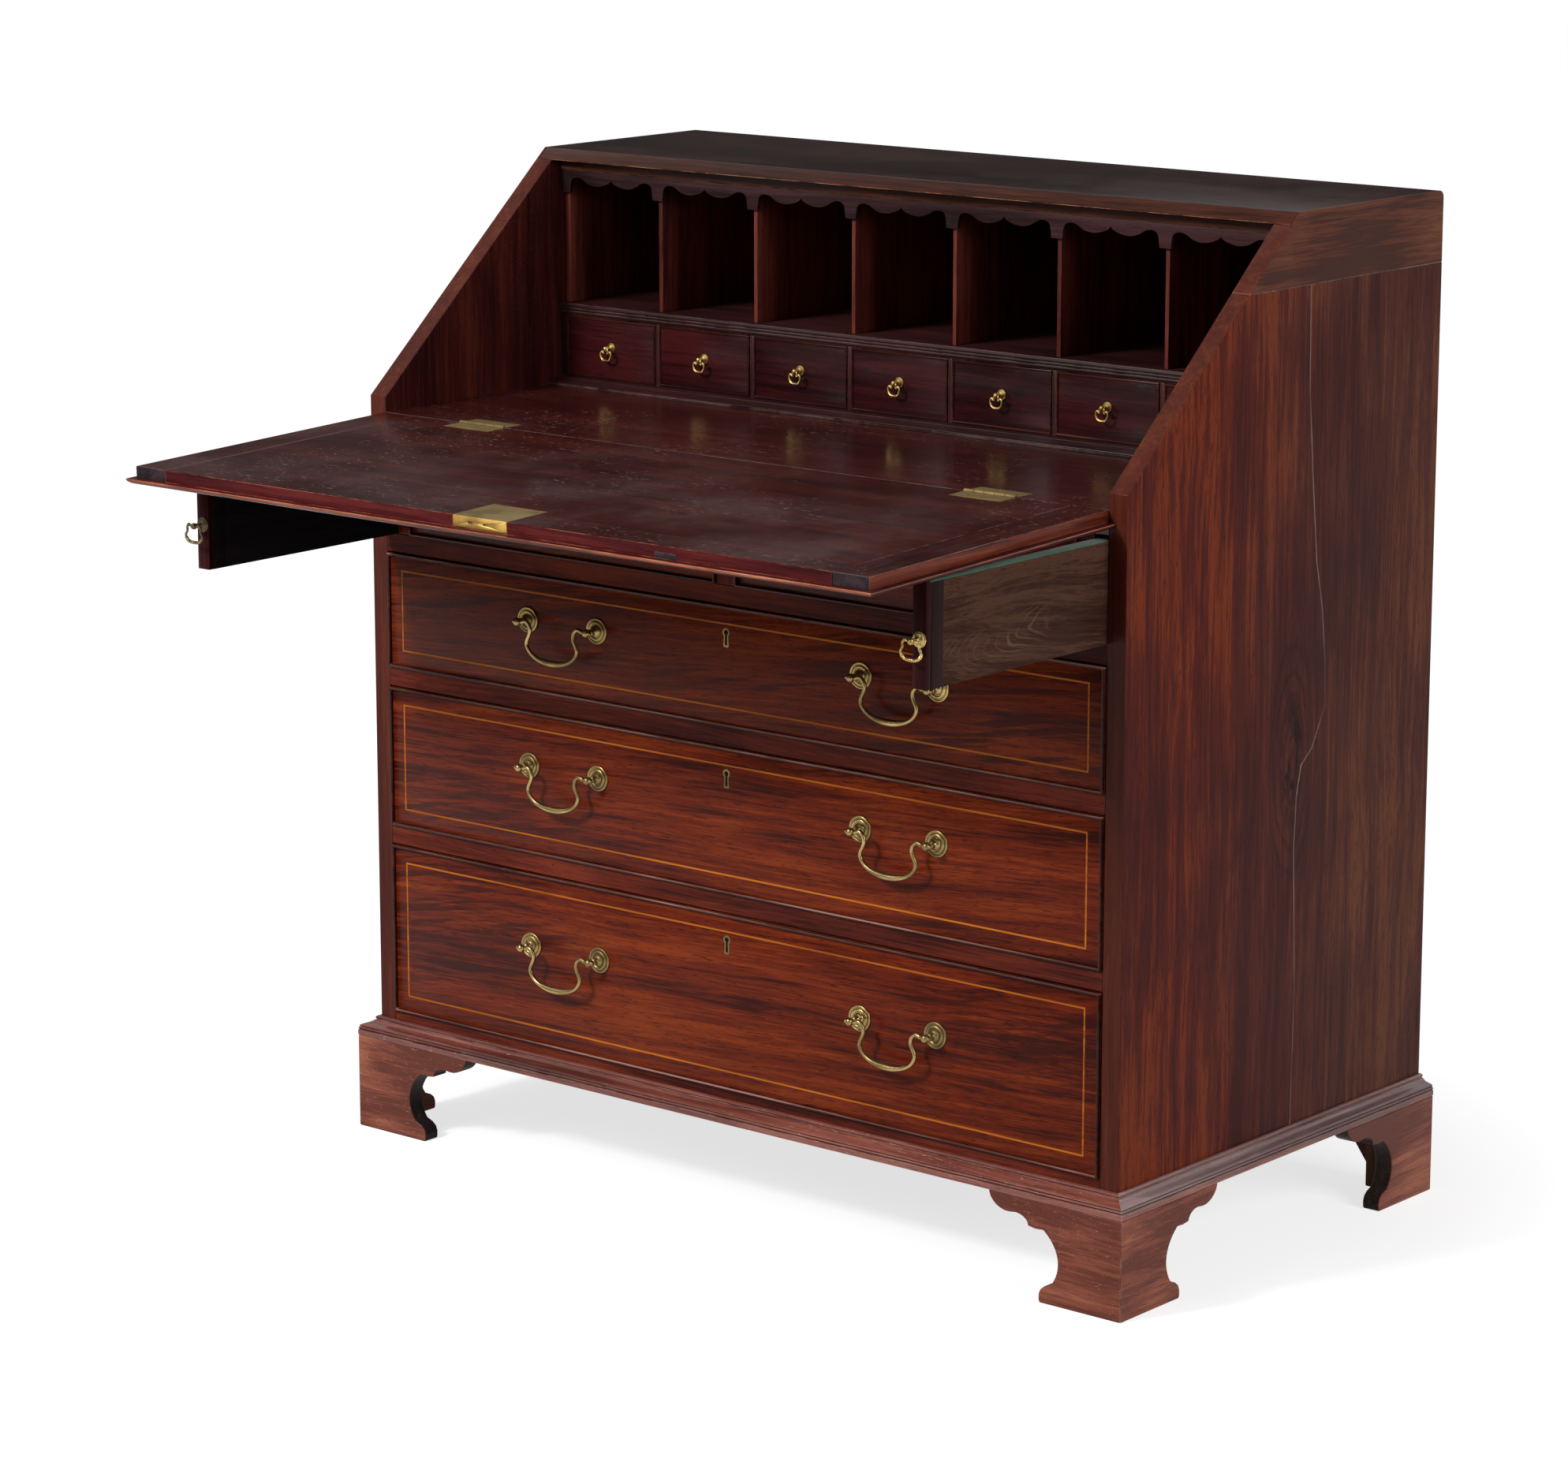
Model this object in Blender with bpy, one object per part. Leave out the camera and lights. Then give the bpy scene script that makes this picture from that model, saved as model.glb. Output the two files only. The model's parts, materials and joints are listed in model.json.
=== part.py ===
"""A slant-front bureau: a chest of three long and two short drawers under a fall that rests on two lopers.

Lengths are in metres. Each piece is first placed in the case's own frame: x to the right of the middle,
y back from the case's front face, z up from the floor. One empty then carries the whole desk.
"""

import math

import bmesh
import bpy
from mathutils import Matrix, Vector

# Clearances and overruns that every piece shares
SEAT_GAP = 0.0003
OVERRUN = 0.004
OVERLAP = 0.001
WELD = 0.00001

# Case
CASE_WIDTH = 1.000
CASE_DEPTH = 0.540
CASE_HEIGHT = 1.058
SIDE_THICK = 0.022
BOTTOM_THICK = 0.022
BOTTOM_RISE = 0.0305
FRONT_RAIL_DEPTH = 0.045
BACK_THICK = 0.010
BACK_INSET = 0.002
BACK_REBATE = 0.010

# Top board: it laps the sides, which leave a thin skin outside its ends
TOP_THICK = 0.023
TOP_SETBACK = 0.280
TOP_NOSE = 0.0119
TOP_SKIN = 0.003

# Drawer openings: shares of the height that they take, from the bottom up, with the rail above each
OPENING_SHARES = (0.4014, 0.3294, 0.2692)
RAIL_THICK = 0.0203
RAIL_DEPTH = 0.060
DUSTBOARD_THICK = 0.008

# Writing board: how far the top stands above it, and the small gap where the fall meets it
DESK_HEIGHT = 0.260
WRITE_THICK = 0.0245
FALL_JOINT = 0.0009

# Fall: a body that drops between the sides, under a lip that rests on their slanted edges
FALL_TOP_GAP = 0.0196
FALL_BODY = 0.0125
FALL_SIDE_GAP = 0.0005
LIP_REACH = 0.008
LIP_THICK = 0.0065
LIP_RUN = 0.012
LIP_STEPS = 4

# Lopers: each slides between a side and a partition, on the top rail
LOPER_THICK = 0.0161
LOPER_HEIGHT = 0.1012
LOPER_DROP = 0.0290
LOPER_BACK_GAP = 0.0577
LOPER_OUT = 0.279
LOPER_PLAY = 0.0004
PARTITION_THICK = 0.017
PARTITION_BACK_GAP = 0.0277

# Divider between the short drawers: a stile with a guide behind it
STILE_WIDTH = 0.024
STILE_DEPTH = 0.045
GUIDE_WIDTH = 0.012

# Drawers
DRAWER_SIDE_GAP = 0.001
DRAWER_TOP_GAP = 0.0015
DRAWER_FRONT_THICK = 0.020
BEAD_WIDTH = 0.003
BEAD_PROUD = 0.0035
BEAD_ROUND = 0.0011
TRAY_BACK_GAP = 0.0274
TRAY_WALL = 0.009
TRAY_BOTTOM = 0.006
TRAY_HEADROOM = 0.010

# Keyholes are shallow, since the lock behind them isn't part of the front
KEYHOLE_DROP = 0.034
KEYHOLE_ROUND = 0.0026
KEYHOLE_SLOT = 0.0024
KEYHOLE_HEIGHT = 0.016
KEYHOLE_DEPTH = 0.003
KEYHOLE_SIDES = 12
FALL_KEYHOLE_DROP = 0.040

# Gallery
GALLERY_SET_BACK = 0.001
BAYS = 7
STANDARD_THICK = 0.008
DIVIDER_THICK = 0.005
GALLERY_BASE_HEIGHT = 0.009
GALLERY_BASE_REACH = 0.024
SMALL_OPENING_HEIGHT = 0.0672
SHELF_THICK = 0.013
SHELF_REACH = 0.002
SMALL_FRONT_THICK = 0.009
SMALL_WALL = 0.004
SMALL_BOTTOM = 0.003
SMALL_HEADROOM = 0.006
SMALL_BACK_GAP = 0.0217
SMALL_GAP = 0.0005
SMALL_BEAD_WIDTH = 0.0022
SMALL_BEAD_PROUD = 0.0012
SMALL_BEAD_ROUND = 0.0005

# Valance above the pigeonholes
VALANCE_DROP = 0.025
VALANCE_THICK = 0.005
VALANCE_SET_IN = 0.001

# Base moulding and bracket feet
MOULDING_OUT = 0.018
MOULDING_HEIGHT = 0.021
FOOT_HEIGHT = 0.104
FOOT_REACH = 0.163
FOOT_BOARD = 0.020
FOOT_BLOCK = 0.030
FOOT_BLOCK_RAISE = 0.006
REAR_BRACKET_TOE = 0.055
REAR_BRACKET_REACH = 0.130
REAR_BRACKET_THICK = 0.018
FOOT_SET_IN = 0.001
ARC_STEPS = 6

# Swan-neck handles of the long drawers, each raised by a share of its drawer's height, from the bottom up
HANDLE_INSET = 0.253
HANDLE_SPAN = 0.097
HANDLE_RISE_SHARES = (0.075, 0.118, 0.109)
HANDLE_PLATE = 0.014
HANDLE_POST = 0.017
HANDLE_BALL = 0.0045
HANDLE_BORE = 0.0015
HANDLE_BORE_DEPTH = 0.0035
HANDLE_PIN = 0.0011
HANDLE_PIN_REACH = 0.0025
HANDLE_ROD = 0.0021
HANDLE_DROP = 0.0385
HANDLE_SIDES = 10

# Small pulls of the gallery drawers and of the lopers
RING_PLATE = 0.0055
RING_POST = 0.0095
RING_BALL = 0.0029
RING_BORE = 0.0010
RING_HALF_WIDTH = 0.0074
RING_DROP = 0.0129
RING_ROD = 0.0010
RING_SWELL = 0.0012
RING_PIN = 0.0006
LOPER_PLATE = 0.0078
LOPER_POST = 0.0125
LOPER_BALL = 0.0034
LOPER_BORE = 0.0012
LOPER_PULL_HALF_WIDTH = 0.0120
LOPER_PULL_DROP = 0.0170
LOPER_PULL_ROD = 0.0013
LOPER_PULL_SWELL = 0.0018
LOPER_PULL_PIN = 0.0008
LOPER_PULL_RAISE = 0.0467
SMALL_PULL_SIDES = 10
PULL_PIN_HOLD = 0.0010
RING_RAISE = 0.0021
BAIL_RESOLUTION = 2

# Knobs of the short drawers
KNOB_PLATE = 0.0075
KNOB_POST = 0.0130
KNOB_BALL = 0.0060

# Fall hinges: the knuckles stand half proud of the writing surface
HINGE_INSET = 0.142
HINGE_WIDTH = 0.063
HINGE_LEAF = 0.026
HINGE_THICK = 0.0016
KNUCKLE_RADIUS = 0.0023
KNUCKLE_BORE = 0.0013
HINGE_PIN = 0.0010
KNUCKLES = 5
KNUCKLE_SIDES = 12

# Lock of the fall: a flush plate bent over the front edge, with its case below
LOCK_WIDTH = 0.070
LOCK_DEPTH = 0.058
LOCK_THICK = 0.0015
LOCK_EDGE_DROP = 0.0115
LOCK_CASE_WIDTH = 0.050
LOCK_CASE_DEPTH = 0.038
LOCK_CASE_DROP = 0.0092

# Angle over which an edge stays sharp
SMOOTH_ANGLE = math.radians(40)

# Outlines as shares of the sizes that they follow
FOOT_TOE_SHARES = ((0.607, 0.0), (0.612, 0.070), (0.601, 0.132), (0.560, 0.180), (0.521, 0.205))
FOOT_HOLLOW_SHARES = ((0.521, 0.205), (0.472, 0.442), (0.583, 0.728))
FOOT_STEP_SHARES = ((0.640, 0.722), (0.699, 0.735))
FOOT_SCOOP_SHARES = ((0.699, 0.735), (0.727, 0.806), (0.791, 0.838))
FOOT_LOBE_SHARES = ((0.845, 0.828), (0.905, 0.842), (0.955, 0.880), (0.986, 0.935), (1.0, 1.0))
MOULDING_SHARES = (
    (0.0, 0.0),
    (1.0, 0.0),
    (1.0, 0.31),
    (0.90, 0.35),
    (0.88, 0.47),
    (0.76, 0.58),
    (0.50, 0.68),
    (0.30, 0.74),
    (0.22, 0.83),
    (0.14, 0.86),
    (0.12, 1.0),
    (0.0, 1.0),
)
GALLERY_BASE_SHARES = (
    (1.0, 0.0),
    (1.0, 0.30),
    (0.78, 0.38),
    (0.62, 0.60),
    (0.42, 0.66),
    (0.40, 0.88),
    (0.10, 1.0),
)
SHELF_REED_SHARES = (
    (0.1, 0.0),
    (0.8, 0.08),
    (1.0, 0.25),
    (0.6, 0.45),
    (0.6, 0.55),
    (1.0, 0.75),
    (0.8, 0.92),
    (0.1, 1.0),
)
VALANCE_HALF_BAY_SHARES = (
    (0.0, 0.32),
    (0.07, 0.47),
    (0.18, 0.59),
    (0.34, 0.64),
    (0.50, 0.57),
    (0.66, 0.36),
    (0.76, 0.30),
    (0.85, 0.42),
    (0.885, 0.68),
    (0.896, 1.0),
)
POST_SHARES = ((1.0, 0.0), (1.0, 0.07), (0.84, 0.13), (0.78, 0.20), (0.50, 0.26), (0.26, 0.36))
POST_NECK_SHARE = 0.55
BALL_STEP_SHARES = (0.20, 0.40, 0.62, 0.82)
SWAN_NECK_SHARES = (
    (0.86, 0.01),
    (0.77, 0.035),
    (0.70, -0.01),
    (0.65, -0.12),
    (0.68, -0.34),
    (0.76, -0.56),
    (0.76, -0.74),
    (0.68, -0.89),
    (0.50, -0.98),
    (0.26, -1.0),
)
SWAN_NECK_SWELL_SHARES = (0.8, 1.0, 1.0, 1.0, 1.0, 1.0, 1.0, 1.05, 1.30, 1.75)
RING_SHARES = (
    (0.52, -0.03),
    (0.76, -0.12),
    (0.94, -0.30),
    (1.0, -0.52),
    (0.90, -0.76),
    (0.62, -0.94),
    (0.30, -1.0),
)
LOPER_PULL_SHARES = (
    (0.45, 0.02),
    (0.78, 0.04),
    (0.84, -0.14),
    (0.82, -0.34),
    (1.0, -0.54),
    (0.96, -0.76),
    (0.68, -0.94),
    (0.34, -1.0),
)

# Places worked out from the sizes above
INNER_HALF = CASE_WIDTH / 2 - SIDE_THICK
BOARD_HALF = INNER_HALF - SEAT_GAP
BACK_FACE = CASE_DEPTH - BACK_INSET - BACK_THICK
INNER_BACK = BACK_FACE - SEAT_GAP
TOP_UNDERSIDE = CASE_HEIGHT - TOP_THICK
NOSE_UNDERSIDE = CASE_HEIGHT - TOP_NOSE
BOTTOM_TOP = FOOT_HEIGHT + BOTTOM_RISE
WRITE_HEIGHT = CASE_HEIGHT - DESK_HEIGHT
WRITE_UNDERSIDE = WRITE_HEIGHT - WRITE_THICK
FALL_THICK = FALL_BODY + LIP_THICK
FALL_LENGTH = math.hypot(TOP_SETBACK, DESK_HEIGHT) - FALL_TOP_GAP
LOPER_TOP = WRITE_HEIGHT - LOPER_DROP
LOPER_BOTTOM = LOPER_TOP - LOPER_HEIGHT
LOPER_LENGTH = INNER_BACK - LOPER_BACK_GAP
SHORT_BOTTOM = LOPER_BOTTOM - SEAT_GAP
OPENING_ROOM = SHORT_BOTTOM - BOTTOM_TOP - RAIL_THICK * len(OPENING_SHARES)
OPENING_HEIGHTS = tuple(OPENING_ROOM * share for share in OPENING_SHARES)
OPENING_BOTTOMS = tuple(
    BOTTOM_TOP + sum(OPENING_HEIGHTS[:k]) + k * RAIL_THICK for k in range(len(OPENING_HEIGHTS))
)
HANDLE_PLACE = INNER_HALF - HANDLE_INSET
HINGE_PLACE = INNER_HALF - HINGE_INSET
PARTITION_DEPTH = INNER_BACK - PARTITION_BACK_GAP
TRAY_BACK = INNER_BACK - TRAY_BACK_GAP
LOPER_MIDDLE = INNER_HALF - LOPER_PLAY - LOPER_THICK / 2
PARTITION_OUTER = INNER_HALF - LOPER_THICK - 2 * LOPER_PLAY
PARTITION_INNER = PARTITION_OUTER - PARTITION_THICK
GALLERY_FRONT = TOP_SETBACK + GALLERY_SET_BACK
SMALL_DRAWER_DEPTH = INNER_BACK - SMALL_BACK_GAP - GALLERY_FRONT
GALLERY_BASE_TOP = WRITE_HEIGHT + SEAT_GAP + GALLERY_BASE_HEIGHT
SHELF_BOTTOM = GALLERY_BASE_TOP + SMALL_OPENING_HEIGHT
SHELF_TOP = SHELF_BOTTOM + SHELF_THICK
BAY_INNER_HALF = BOARD_HALF - STANDARD_THICK
BAY_WIDTH = (2 * BAY_INNER_HALF - (BAYS - 1) * DIVIDER_THICK) / BAYS
BAY_PITCH = BAY_WIDTH + DIVIDER_THICK
VALANCE_FRONT = GALLERY_FRONT + VALANCE_SET_IN
VALANCE_BACK = VALANCE_FRONT + VALANCE_THICK


def turn_that_meets(along, across, offset):
    """The slope of a line from the origin that keeps the point (along, across) an offset away from it."""
    return math.acos(offset / math.hypot(along, across)) - math.atan2(along, across)


# The closed fall's inner face passes through the hinge pin, and its lip lies on the slanted edges.
SLANT = turn_that_meets(TOP_SETBACK, DESK_HEIGHT, FALL_BODY - SEAT_GAP)
SLANT_BOTTOM = WRITE_HEIGHT + (FALL_BODY - SEAT_GAP) / math.cos(SLANT)
# The open fall's outer face lies on the front ends of the lopers, so that it droops a little.
DROOP = turn_that_meets(LOPER_OUT, LOPER_DROP - SEAT_GAP, FALL_THICK)
FALL_REACH = (FALL_LENGTH + LIP_REACH) * math.cos(DROOP) - FALL_BODY * math.sin(DROOP)
CASE_FRONT = -(CASE_DEPTH - FALL_REACH) / 2
OUTER_HALF = CASE_WIDTH / 2 + SEAT_GAP + MOULDING_OUT
FOOT_FRONT = -(SEAT_GAP + MOULDING_OUT)
DRAWER_HALF = INNER_HALF - DRAWER_SIDE_GAP

# Finishes: colour, roughness, metallic
FINISHES = {
    "case_mahogany": ((0.130, 0.028, 0.016), 0.38, 0.0),
    "front_mahogany": ((0.210, 0.045, 0.018), 0.36, 0.0),
    "inner_mahogany": ((0.085, 0.022, 0.022), 0.40, 0.0),
    "drawer_oak": ((0.230, 0.130, 0.065), 0.62, 0.0),
    "loper_oak": ((0.110, 0.070, 0.045), 0.60, 0.0),
    "aged_brass": ((0.420, 0.300, 0.110), 0.34, 1.0),
}


def clear_scene():
    """Remove whatever the scene already holds."""
    for existing in list(bpy.data.objects):
        bpy.data.objects.remove(existing, do_unlink=True)


def finish(piece, look):
    """Give a piece its own material in one of the named finishes."""
    colour, roughness, metallic = FINISHES[look]
    material = bpy.data.materials.new(piece.name)
    material.use_nodes = True
    shader = material.node_tree.nodes["Principled BSDF"]
    shader.inputs["Base Color"].default_value = (*colour, 1.0)
    shader.inputs["Roughness"].default_value = roughness
    shader.inputs["Metallic"].default_value = metallic
    piece.data.materials.clear()
    piece.data.materials.append(material)


def place(piece, carrier, spot=(0, 0, 0)):
    """Hang a piece on its carrier at a spot of the carrier's own frame."""
    piece.parent = carrier
    piece.location = spot


def empty(name, carrier=None, spot=(0, 0, 0)):
    """An empty that carries other pieces."""
    made = bpy.data.objects.new(name, None)
    bpy.context.scene.collection.objects.link(made)
    made.parent = carrier
    made.location = spot
    return made


def from_bmesh(name, shape):
    """An object made of a finished bmesh."""
    bmesh.ops.recalc_face_normals(shape, faces=shape.faces)
    mesh = bpy.data.meshes.new(name)
    shape.to_mesh(mesh)
    shape.free()
    made = bpy.data.objects.new(name, mesh)
    bpy.context.scene.collection.objects.link(made)
    return made


def block(name, low, high):
    """A box between two opposite corners."""
    shape = bmesh.new()
    bmesh.ops.create_cube(shape, size=1)
    bmesh.ops.scale(shape, vec=Vector(high) - Vector(low), verts=shape.verts)
    bmesh.ops.translate(shape, vec=(Vector(high) + Vector(low)) / 2, verts=shape.verts)
    return from_bmesh(name, shape)


def spot_in(plane, first, second, depth):
    """A point given in a plane and at a depth across it."""
    if plane == "XZ":
        return Vector((first, depth, second))
    if plane == "YZ":
        return Vector((depth, first, second))
    return Vector((first, second, depth))


def prism(name, outline, plane, start, end):
    """A board with an outline in one plane, which runs across it from start to end."""
    shape = bmesh.new()
    corners = [shape.verts.new(spot_in(plane, first, second, start)) for first, second in outline]
    face = shape.faces.new(corners)
    extruded = bmesh.ops.extrude_face_region(shape, geom=[face])["geom"]
    moved = [part for part in extruded if isinstance(part, bmesh.types.BMVert)]
    bmesh.ops.translate(shape, vec=spot_in(plane, 0, 0, end - start), verts=moved)
    return from_bmesh(name, shape)


def lofted(name, rings):
    """A closed solid through a list of rings with as many points each."""
    shape = bmesh.new()
    loops = [[shape.verts.new(point) for point in ring] for ring in rings]
    for lower, upper in zip(loops, loops[1:]):
        for k in range(len(lower)):
            after = (k + 1) % len(lower)
            shape.faces.new((lower[k], lower[after], upper[after], upper[k]))
    shape.faces.new(loops[0])
    shape.faces.new(loops[-1])
    return from_bmesh(name, shape)


def rod(name, radius, start, end, sides, middle=(0, 0)):
    """A round rod along X from start to end, with its middle line at a (y, z) spot."""
    shape = bmesh.new()
    bmesh.ops.create_cone(
        shape, cap_ends=True, segments=sides, radius1=radius, radius2=radius, depth=abs(end - start)
    )
    bmesh.ops.rotate(shape, matrix=Matrix.Rotation(math.pi / 2, 3, "Y"), verts=shape.verts)
    bmesh.ops.translate(shape, vec=((start + end) / 2, *middle), verts=shape.verts)
    return from_bmesh(name, shape)


def turned(name, profile, sides, foot):
    """A round piece that stands out towards -Y from its foot: the profile lists (radius, reach)."""
    shape = bmesh.new()
    points = [shape.verts.new((radius, -reach, 0)) for radius, reach in profile]
    edges = [shape.edges.new(pair) for pair in zip(points, points[1:])]
    bmesh.ops.spin(
        shape,
        geom=points + edges,
        cent=(0, 0, 0),
        axis=(0, 1, 0),
        angle=math.tau,
        steps=sides,
        use_merge=True,
        use_duplicate=False,
    )
    bmesh.ops.remove_doubles(shape, verts=shape.verts, dist=WELD)
    bmesh.ops.translate(shape, vec=foot, verts=shape.verts)
    return from_bmesh(name, shape)


def combine(piece, other, operation):
    """Apply a Boolean between a piece and another object, which it uses up."""
    change = piece.modifiers.new(operation, "BOOLEAN")
    change.operation = operation
    change.solver = "EXACT"
    change.object = other
    bpy.context.view_layer.objects.active = piece
    bpy.ops.object.modifier_apply(modifier=change.name)
    bpy.data.objects.remove(other, do_unlink=True)


def fuse(piece, other):
    """Join another solid to a piece."""
    combine(piece, other, "UNION")


def carve(piece, cutter):
    """Cut a shape out of a piece."""
    combine(piece, cutter, "DIFFERENCE")


def arc_through(first, middle, last, steps):
    """Points on the circle through three points, from the first to the last."""
    (ax, ay), (bx, by), (cx, cy) = first, middle, last
    twice_area = 2 * (ax * (by - cy) + bx * (cy - ay) + cx * (ay - by))
    a_square, b_square, c_square = (x * x + y * y for x, y in (first, middle, last))
    x_middle = (a_square * (by - cy) + b_square * (cy - ay) + c_square * (ay - by)) / twice_area
    y_middle = (a_square * (cx - bx) + b_square * (ax - cx) + c_square * (bx - ax)) / twice_area
    radius = math.hypot(ax - x_middle, ay - y_middle)
    start = math.atan2(ay - y_middle, ax - x_middle)
    turn = math.atan2(cy - y_middle, cx - x_middle) - start
    if twice_area > 0:
        turn = turn % math.tau
    else:
        turn = -((-turn) % math.tau)
    angles = [start + turn * k / steps for k in range(steps + 1)]
    return [(x_middle + radius * math.cos(angle), y_middle + radius * math.sin(angle)) for angle in angles]


def soften(piece):
    """Shade the round stretches of a mesh smooth and keep its edges sharp."""
    piece.data.shade_smooth()
    piece.data.set_sharp_from_angle(angle=SMOOTH_ANGLE)


def settle(piece, carrier, look, spot=(0, 0, 0)):
    """Finish a piece and hang it on its carrier."""
    if piece.type == "MESH":
        soften(piece)
    finish(piece, look)
    place(piece, carrier, spot)


def side_board(name, side):
    """A side of the case, slanted above the writing surface, lapped for the top and rebated for the back."""
    outline = [
        (0, FOOT_HEIGHT),
        (0, SLANT_BOTTOM),
        (TOP_SETBACK, CASE_HEIGHT),
        (CASE_DEPTH, CASE_HEIGHT),
        (CASE_DEPTH, FOOT_HEIGHT),
    ]
    board = prism(name, outline, "YZ", side * INNER_HALF, side * CASE_WIDTH / 2)
    lap = [
        (GALLERY_FRONT - SEAT_GAP, TOP_UNDERSIDE - SEAT_GAP),
        (GALLERY_FRONT - SEAT_GAP, NOSE_UNDERSIDE - SEAT_GAP),
        (0, NOSE_UNDERSIDE - SEAT_GAP),
        (0, CASE_HEIGHT + OVERRUN),
        (CASE_DEPTH + OVERRUN, CASE_HEIGHT + OVERRUN),
        (CASE_DEPTH + OVERRUN, TOP_UNDERSIDE - SEAT_GAP),
    ]
    carve(board, prism("lap", lap, "YZ", side * (INNER_HALF - OVERRUN), side * (CASE_WIDTH / 2 - TOP_SKIN)))
    rebate_low = (side * (INNER_HALF - OVERRUN), INNER_BACK, 0)
    rebate_high = (side * (INNER_HALF + BACK_REBATE), CASE_DEPTH + OVERRUN, CASE_HEIGHT + OVERRUN)
    carve(board, block("rebate", rebate_low, rebate_high))
    return board


def top_board():
    """The top: its front edge lies in the slant, over a rebate that takes the closed fall."""
    outline = [
        (TOP_SETBACK - TOP_NOSE / math.tan(SLANT), NOSE_UNDERSIDE),
        (TOP_SETBACK, CASE_HEIGHT),
        (CASE_DEPTH, CASE_HEIGHT),
        (CASE_DEPTH, TOP_UNDERSIDE),
        (GALLERY_FRONT, TOP_UNDERSIDE),
        (GALLERY_FRONT, NOSE_UNDERSIDE),
    ]
    half = CASE_WIDTH / 2 - TOP_SKIN - SEAT_GAP
    return prism("top_board", outline, "YZ", -half, half)


def shelf_with_rail(name, top, rail_depth, rail_bottom, thick):
    """A board across the case with a deeper rail along its front."""
    outline = [
        (0, rail_bottom),
        (0, top),
        (INNER_BACK, top),
        (INNER_BACK, top - thick),
        (rail_depth, top - thick),
        (rail_depth, rail_bottom),
    ]
    return prism(name, outline, "YZ", -BOARD_HALF, BOARD_HALF)


def back_boards():
    """The back, let into the rebates of the sides."""
    half = INNER_HALF + BACK_REBATE - SEAT_GAP
    low = (-half, BACK_FACE, FOOT_HEIGHT)
    high = (half, BACK_FACE + BACK_THICK, TOP_UNDERSIDE - SEAT_GAP)
    return block("back_boards", low, high)


def loper_partition(name, side):
    """The board that guides a loper on its inner side."""
    low = (side * PARTITION_INNER, 0, SHORT_BOTTOM + SEAT_GAP)
    high = (side * PARTITION_OUTER, PARTITION_DEPTH, WRITE_UNDERSIDE - SEAT_GAP)
    return block(name, low, high)


def short_drawer_divider():
    """A stile between the short drawers with their guide behind it."""
    outline = [
        (-STILE_WIDTH / 2, 0),
        (STILE_WIDTH / 2, 0),
        (STILE_WIDTH / 2, STILE_DEPTH),
        (GUIDE_WIDTH / 2, STILE_DEPTH),
        (GUIDE_WIDTH / 2, PARTITION_DEPTH),
        (-GUIDE_WIDTH / 2, PARTITION_DEPTH),
        (-GUIDE_WIDTH / 2, STILE_DEPTH),
        (-STILE_WIDTH / 2, STILE_DEPTH),
    ]
    return prism("short_drawer_divider", outline, "XY", SHORT_BOTTOM + SEAT_GAP, WRITE_UNDERSIDE - SEAT_GAP)


def hinge_spots(middle):
    """The two ends of a hinge, with the clearance of its recess."""
    reach = HINGE_WIDTH / 2 + SEAT_GAP
    return middle - reach, middle + reach


def writing_board():
    """The fixed board behind the fall, recessed for the fixed hinge leaves."""
    board = block("writing_board", (-BOARD_HALF, 0, WRITE_UNDERSIDE), (BOARD_HALF, INNER_BACK, WRITE_HEIGHT))
    recess_bottom = WRITE_HEIGHT - HINGE_THICK - SEAT_GAP
    for middle in (-HINGE_PLACE, HINGE_PLACE):
        start, end = hinge_spots(middle)
        leaf_high = (end, HINGE_LEAF + SEAT_GAP, WRITE_HEIGHT + OVERRUN)
        carve(board, block("recess", (start, -OVERRUN, recess_bottom), leaf_high))
        groove = rod("groove", KNUCKLE_RADIUS + SEAT_GAP, start, end, KNUCKLE_SIDES, (0, WRITE_HEIGHT))
        carve(board, groove)
    return board


def hinge_leaf(name, middle, height, direction, knuckles, with_pin):
    """A hinge leaf on one side of the pin line, with some of the knuckles, and the pin or a bore for it."""
    start = middle - HINGE_WIDTH / 2
    length = HINGE_WIDTH / KNUCKLES
    root = direction * (KNUCKLE_RADIUS + SEAT_GAP)
    leaf = block(
        name, (start, root, height - HINGE_THICK), (start + HINGE_WIDTH, direction * HINGE_LEAF, height)
    )
    for k in knuckles:
        low = start + k * length + SEAT_GAP / 2
        high = start + (k + 1) * length - SEAT_GAP / 2
        tab_low = (low, direction * KNUCKLE_RADIUS / 2, height - HINGE_THICK)
        tab = block("tab", tab_low, (high, root + direction * OVERLAP, height))
        fuse(leaf, tab)
        fuse(leaf, rod("knuckle", KNUCKLE_RADIUS, low, high, KNUCKLE_SIDES, (0, height)))
    if with_pin:
        pin_start = start + SEAT_GAP
        pin_end = start + HINGE_WIDTH - SEAT_GAP
        fuse(leaf, rod("pin", HINGE_PIN, pin_start, pin_end, KNUCKLE_SIDES, (0, height)))
    else:
        bore_end = start + HINGE_WIDTH + OVERRUN
        carve(leaf, rod("bore", KNUCKLE_BORE, start - OVERRUN, bore_end, KNUCKLE_SIDES, (0, height)))
    return leaf


def moulding_ring(place_of):
    """The corners of the moulding's section, each placed by its (reach, height)."""
    return [
        place_of(MOULDING_OUT * out_share, FOOT_HEIGHT + MOULDING_HEIGHT * up_share)
        for out_share, up_share in MOULDING_SHARES
    ]


def front_moulding():
    """The front length of the base moulding, mitred at both ends."""
    half = CASE_WIDTH / 2 + SEAT_GAP
    rings = [
        moulding_ring(lambda out, up: (-(half + out), -(SEAT_GAP + out), up)),
        moulding_ring(lambda out, up: (half + out, -(SEAT_GAP + out), up)),
    ]
    return lofted("base_moulding_front", rings)


def side_moulding(name, side):
    """A side length of the base moulding, mitred at its front end."""
    half = CASE_WIDTH / 2 + SEAT_GAP
    rings = [
        moulding_ring(lambda out, up: (side * (half + out), -out, up)),
        moulding_ring(lambda out, up: (side * (half + out), CASE_DEPTH, up)),
    ]
    return lofted(name, rings)


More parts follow.
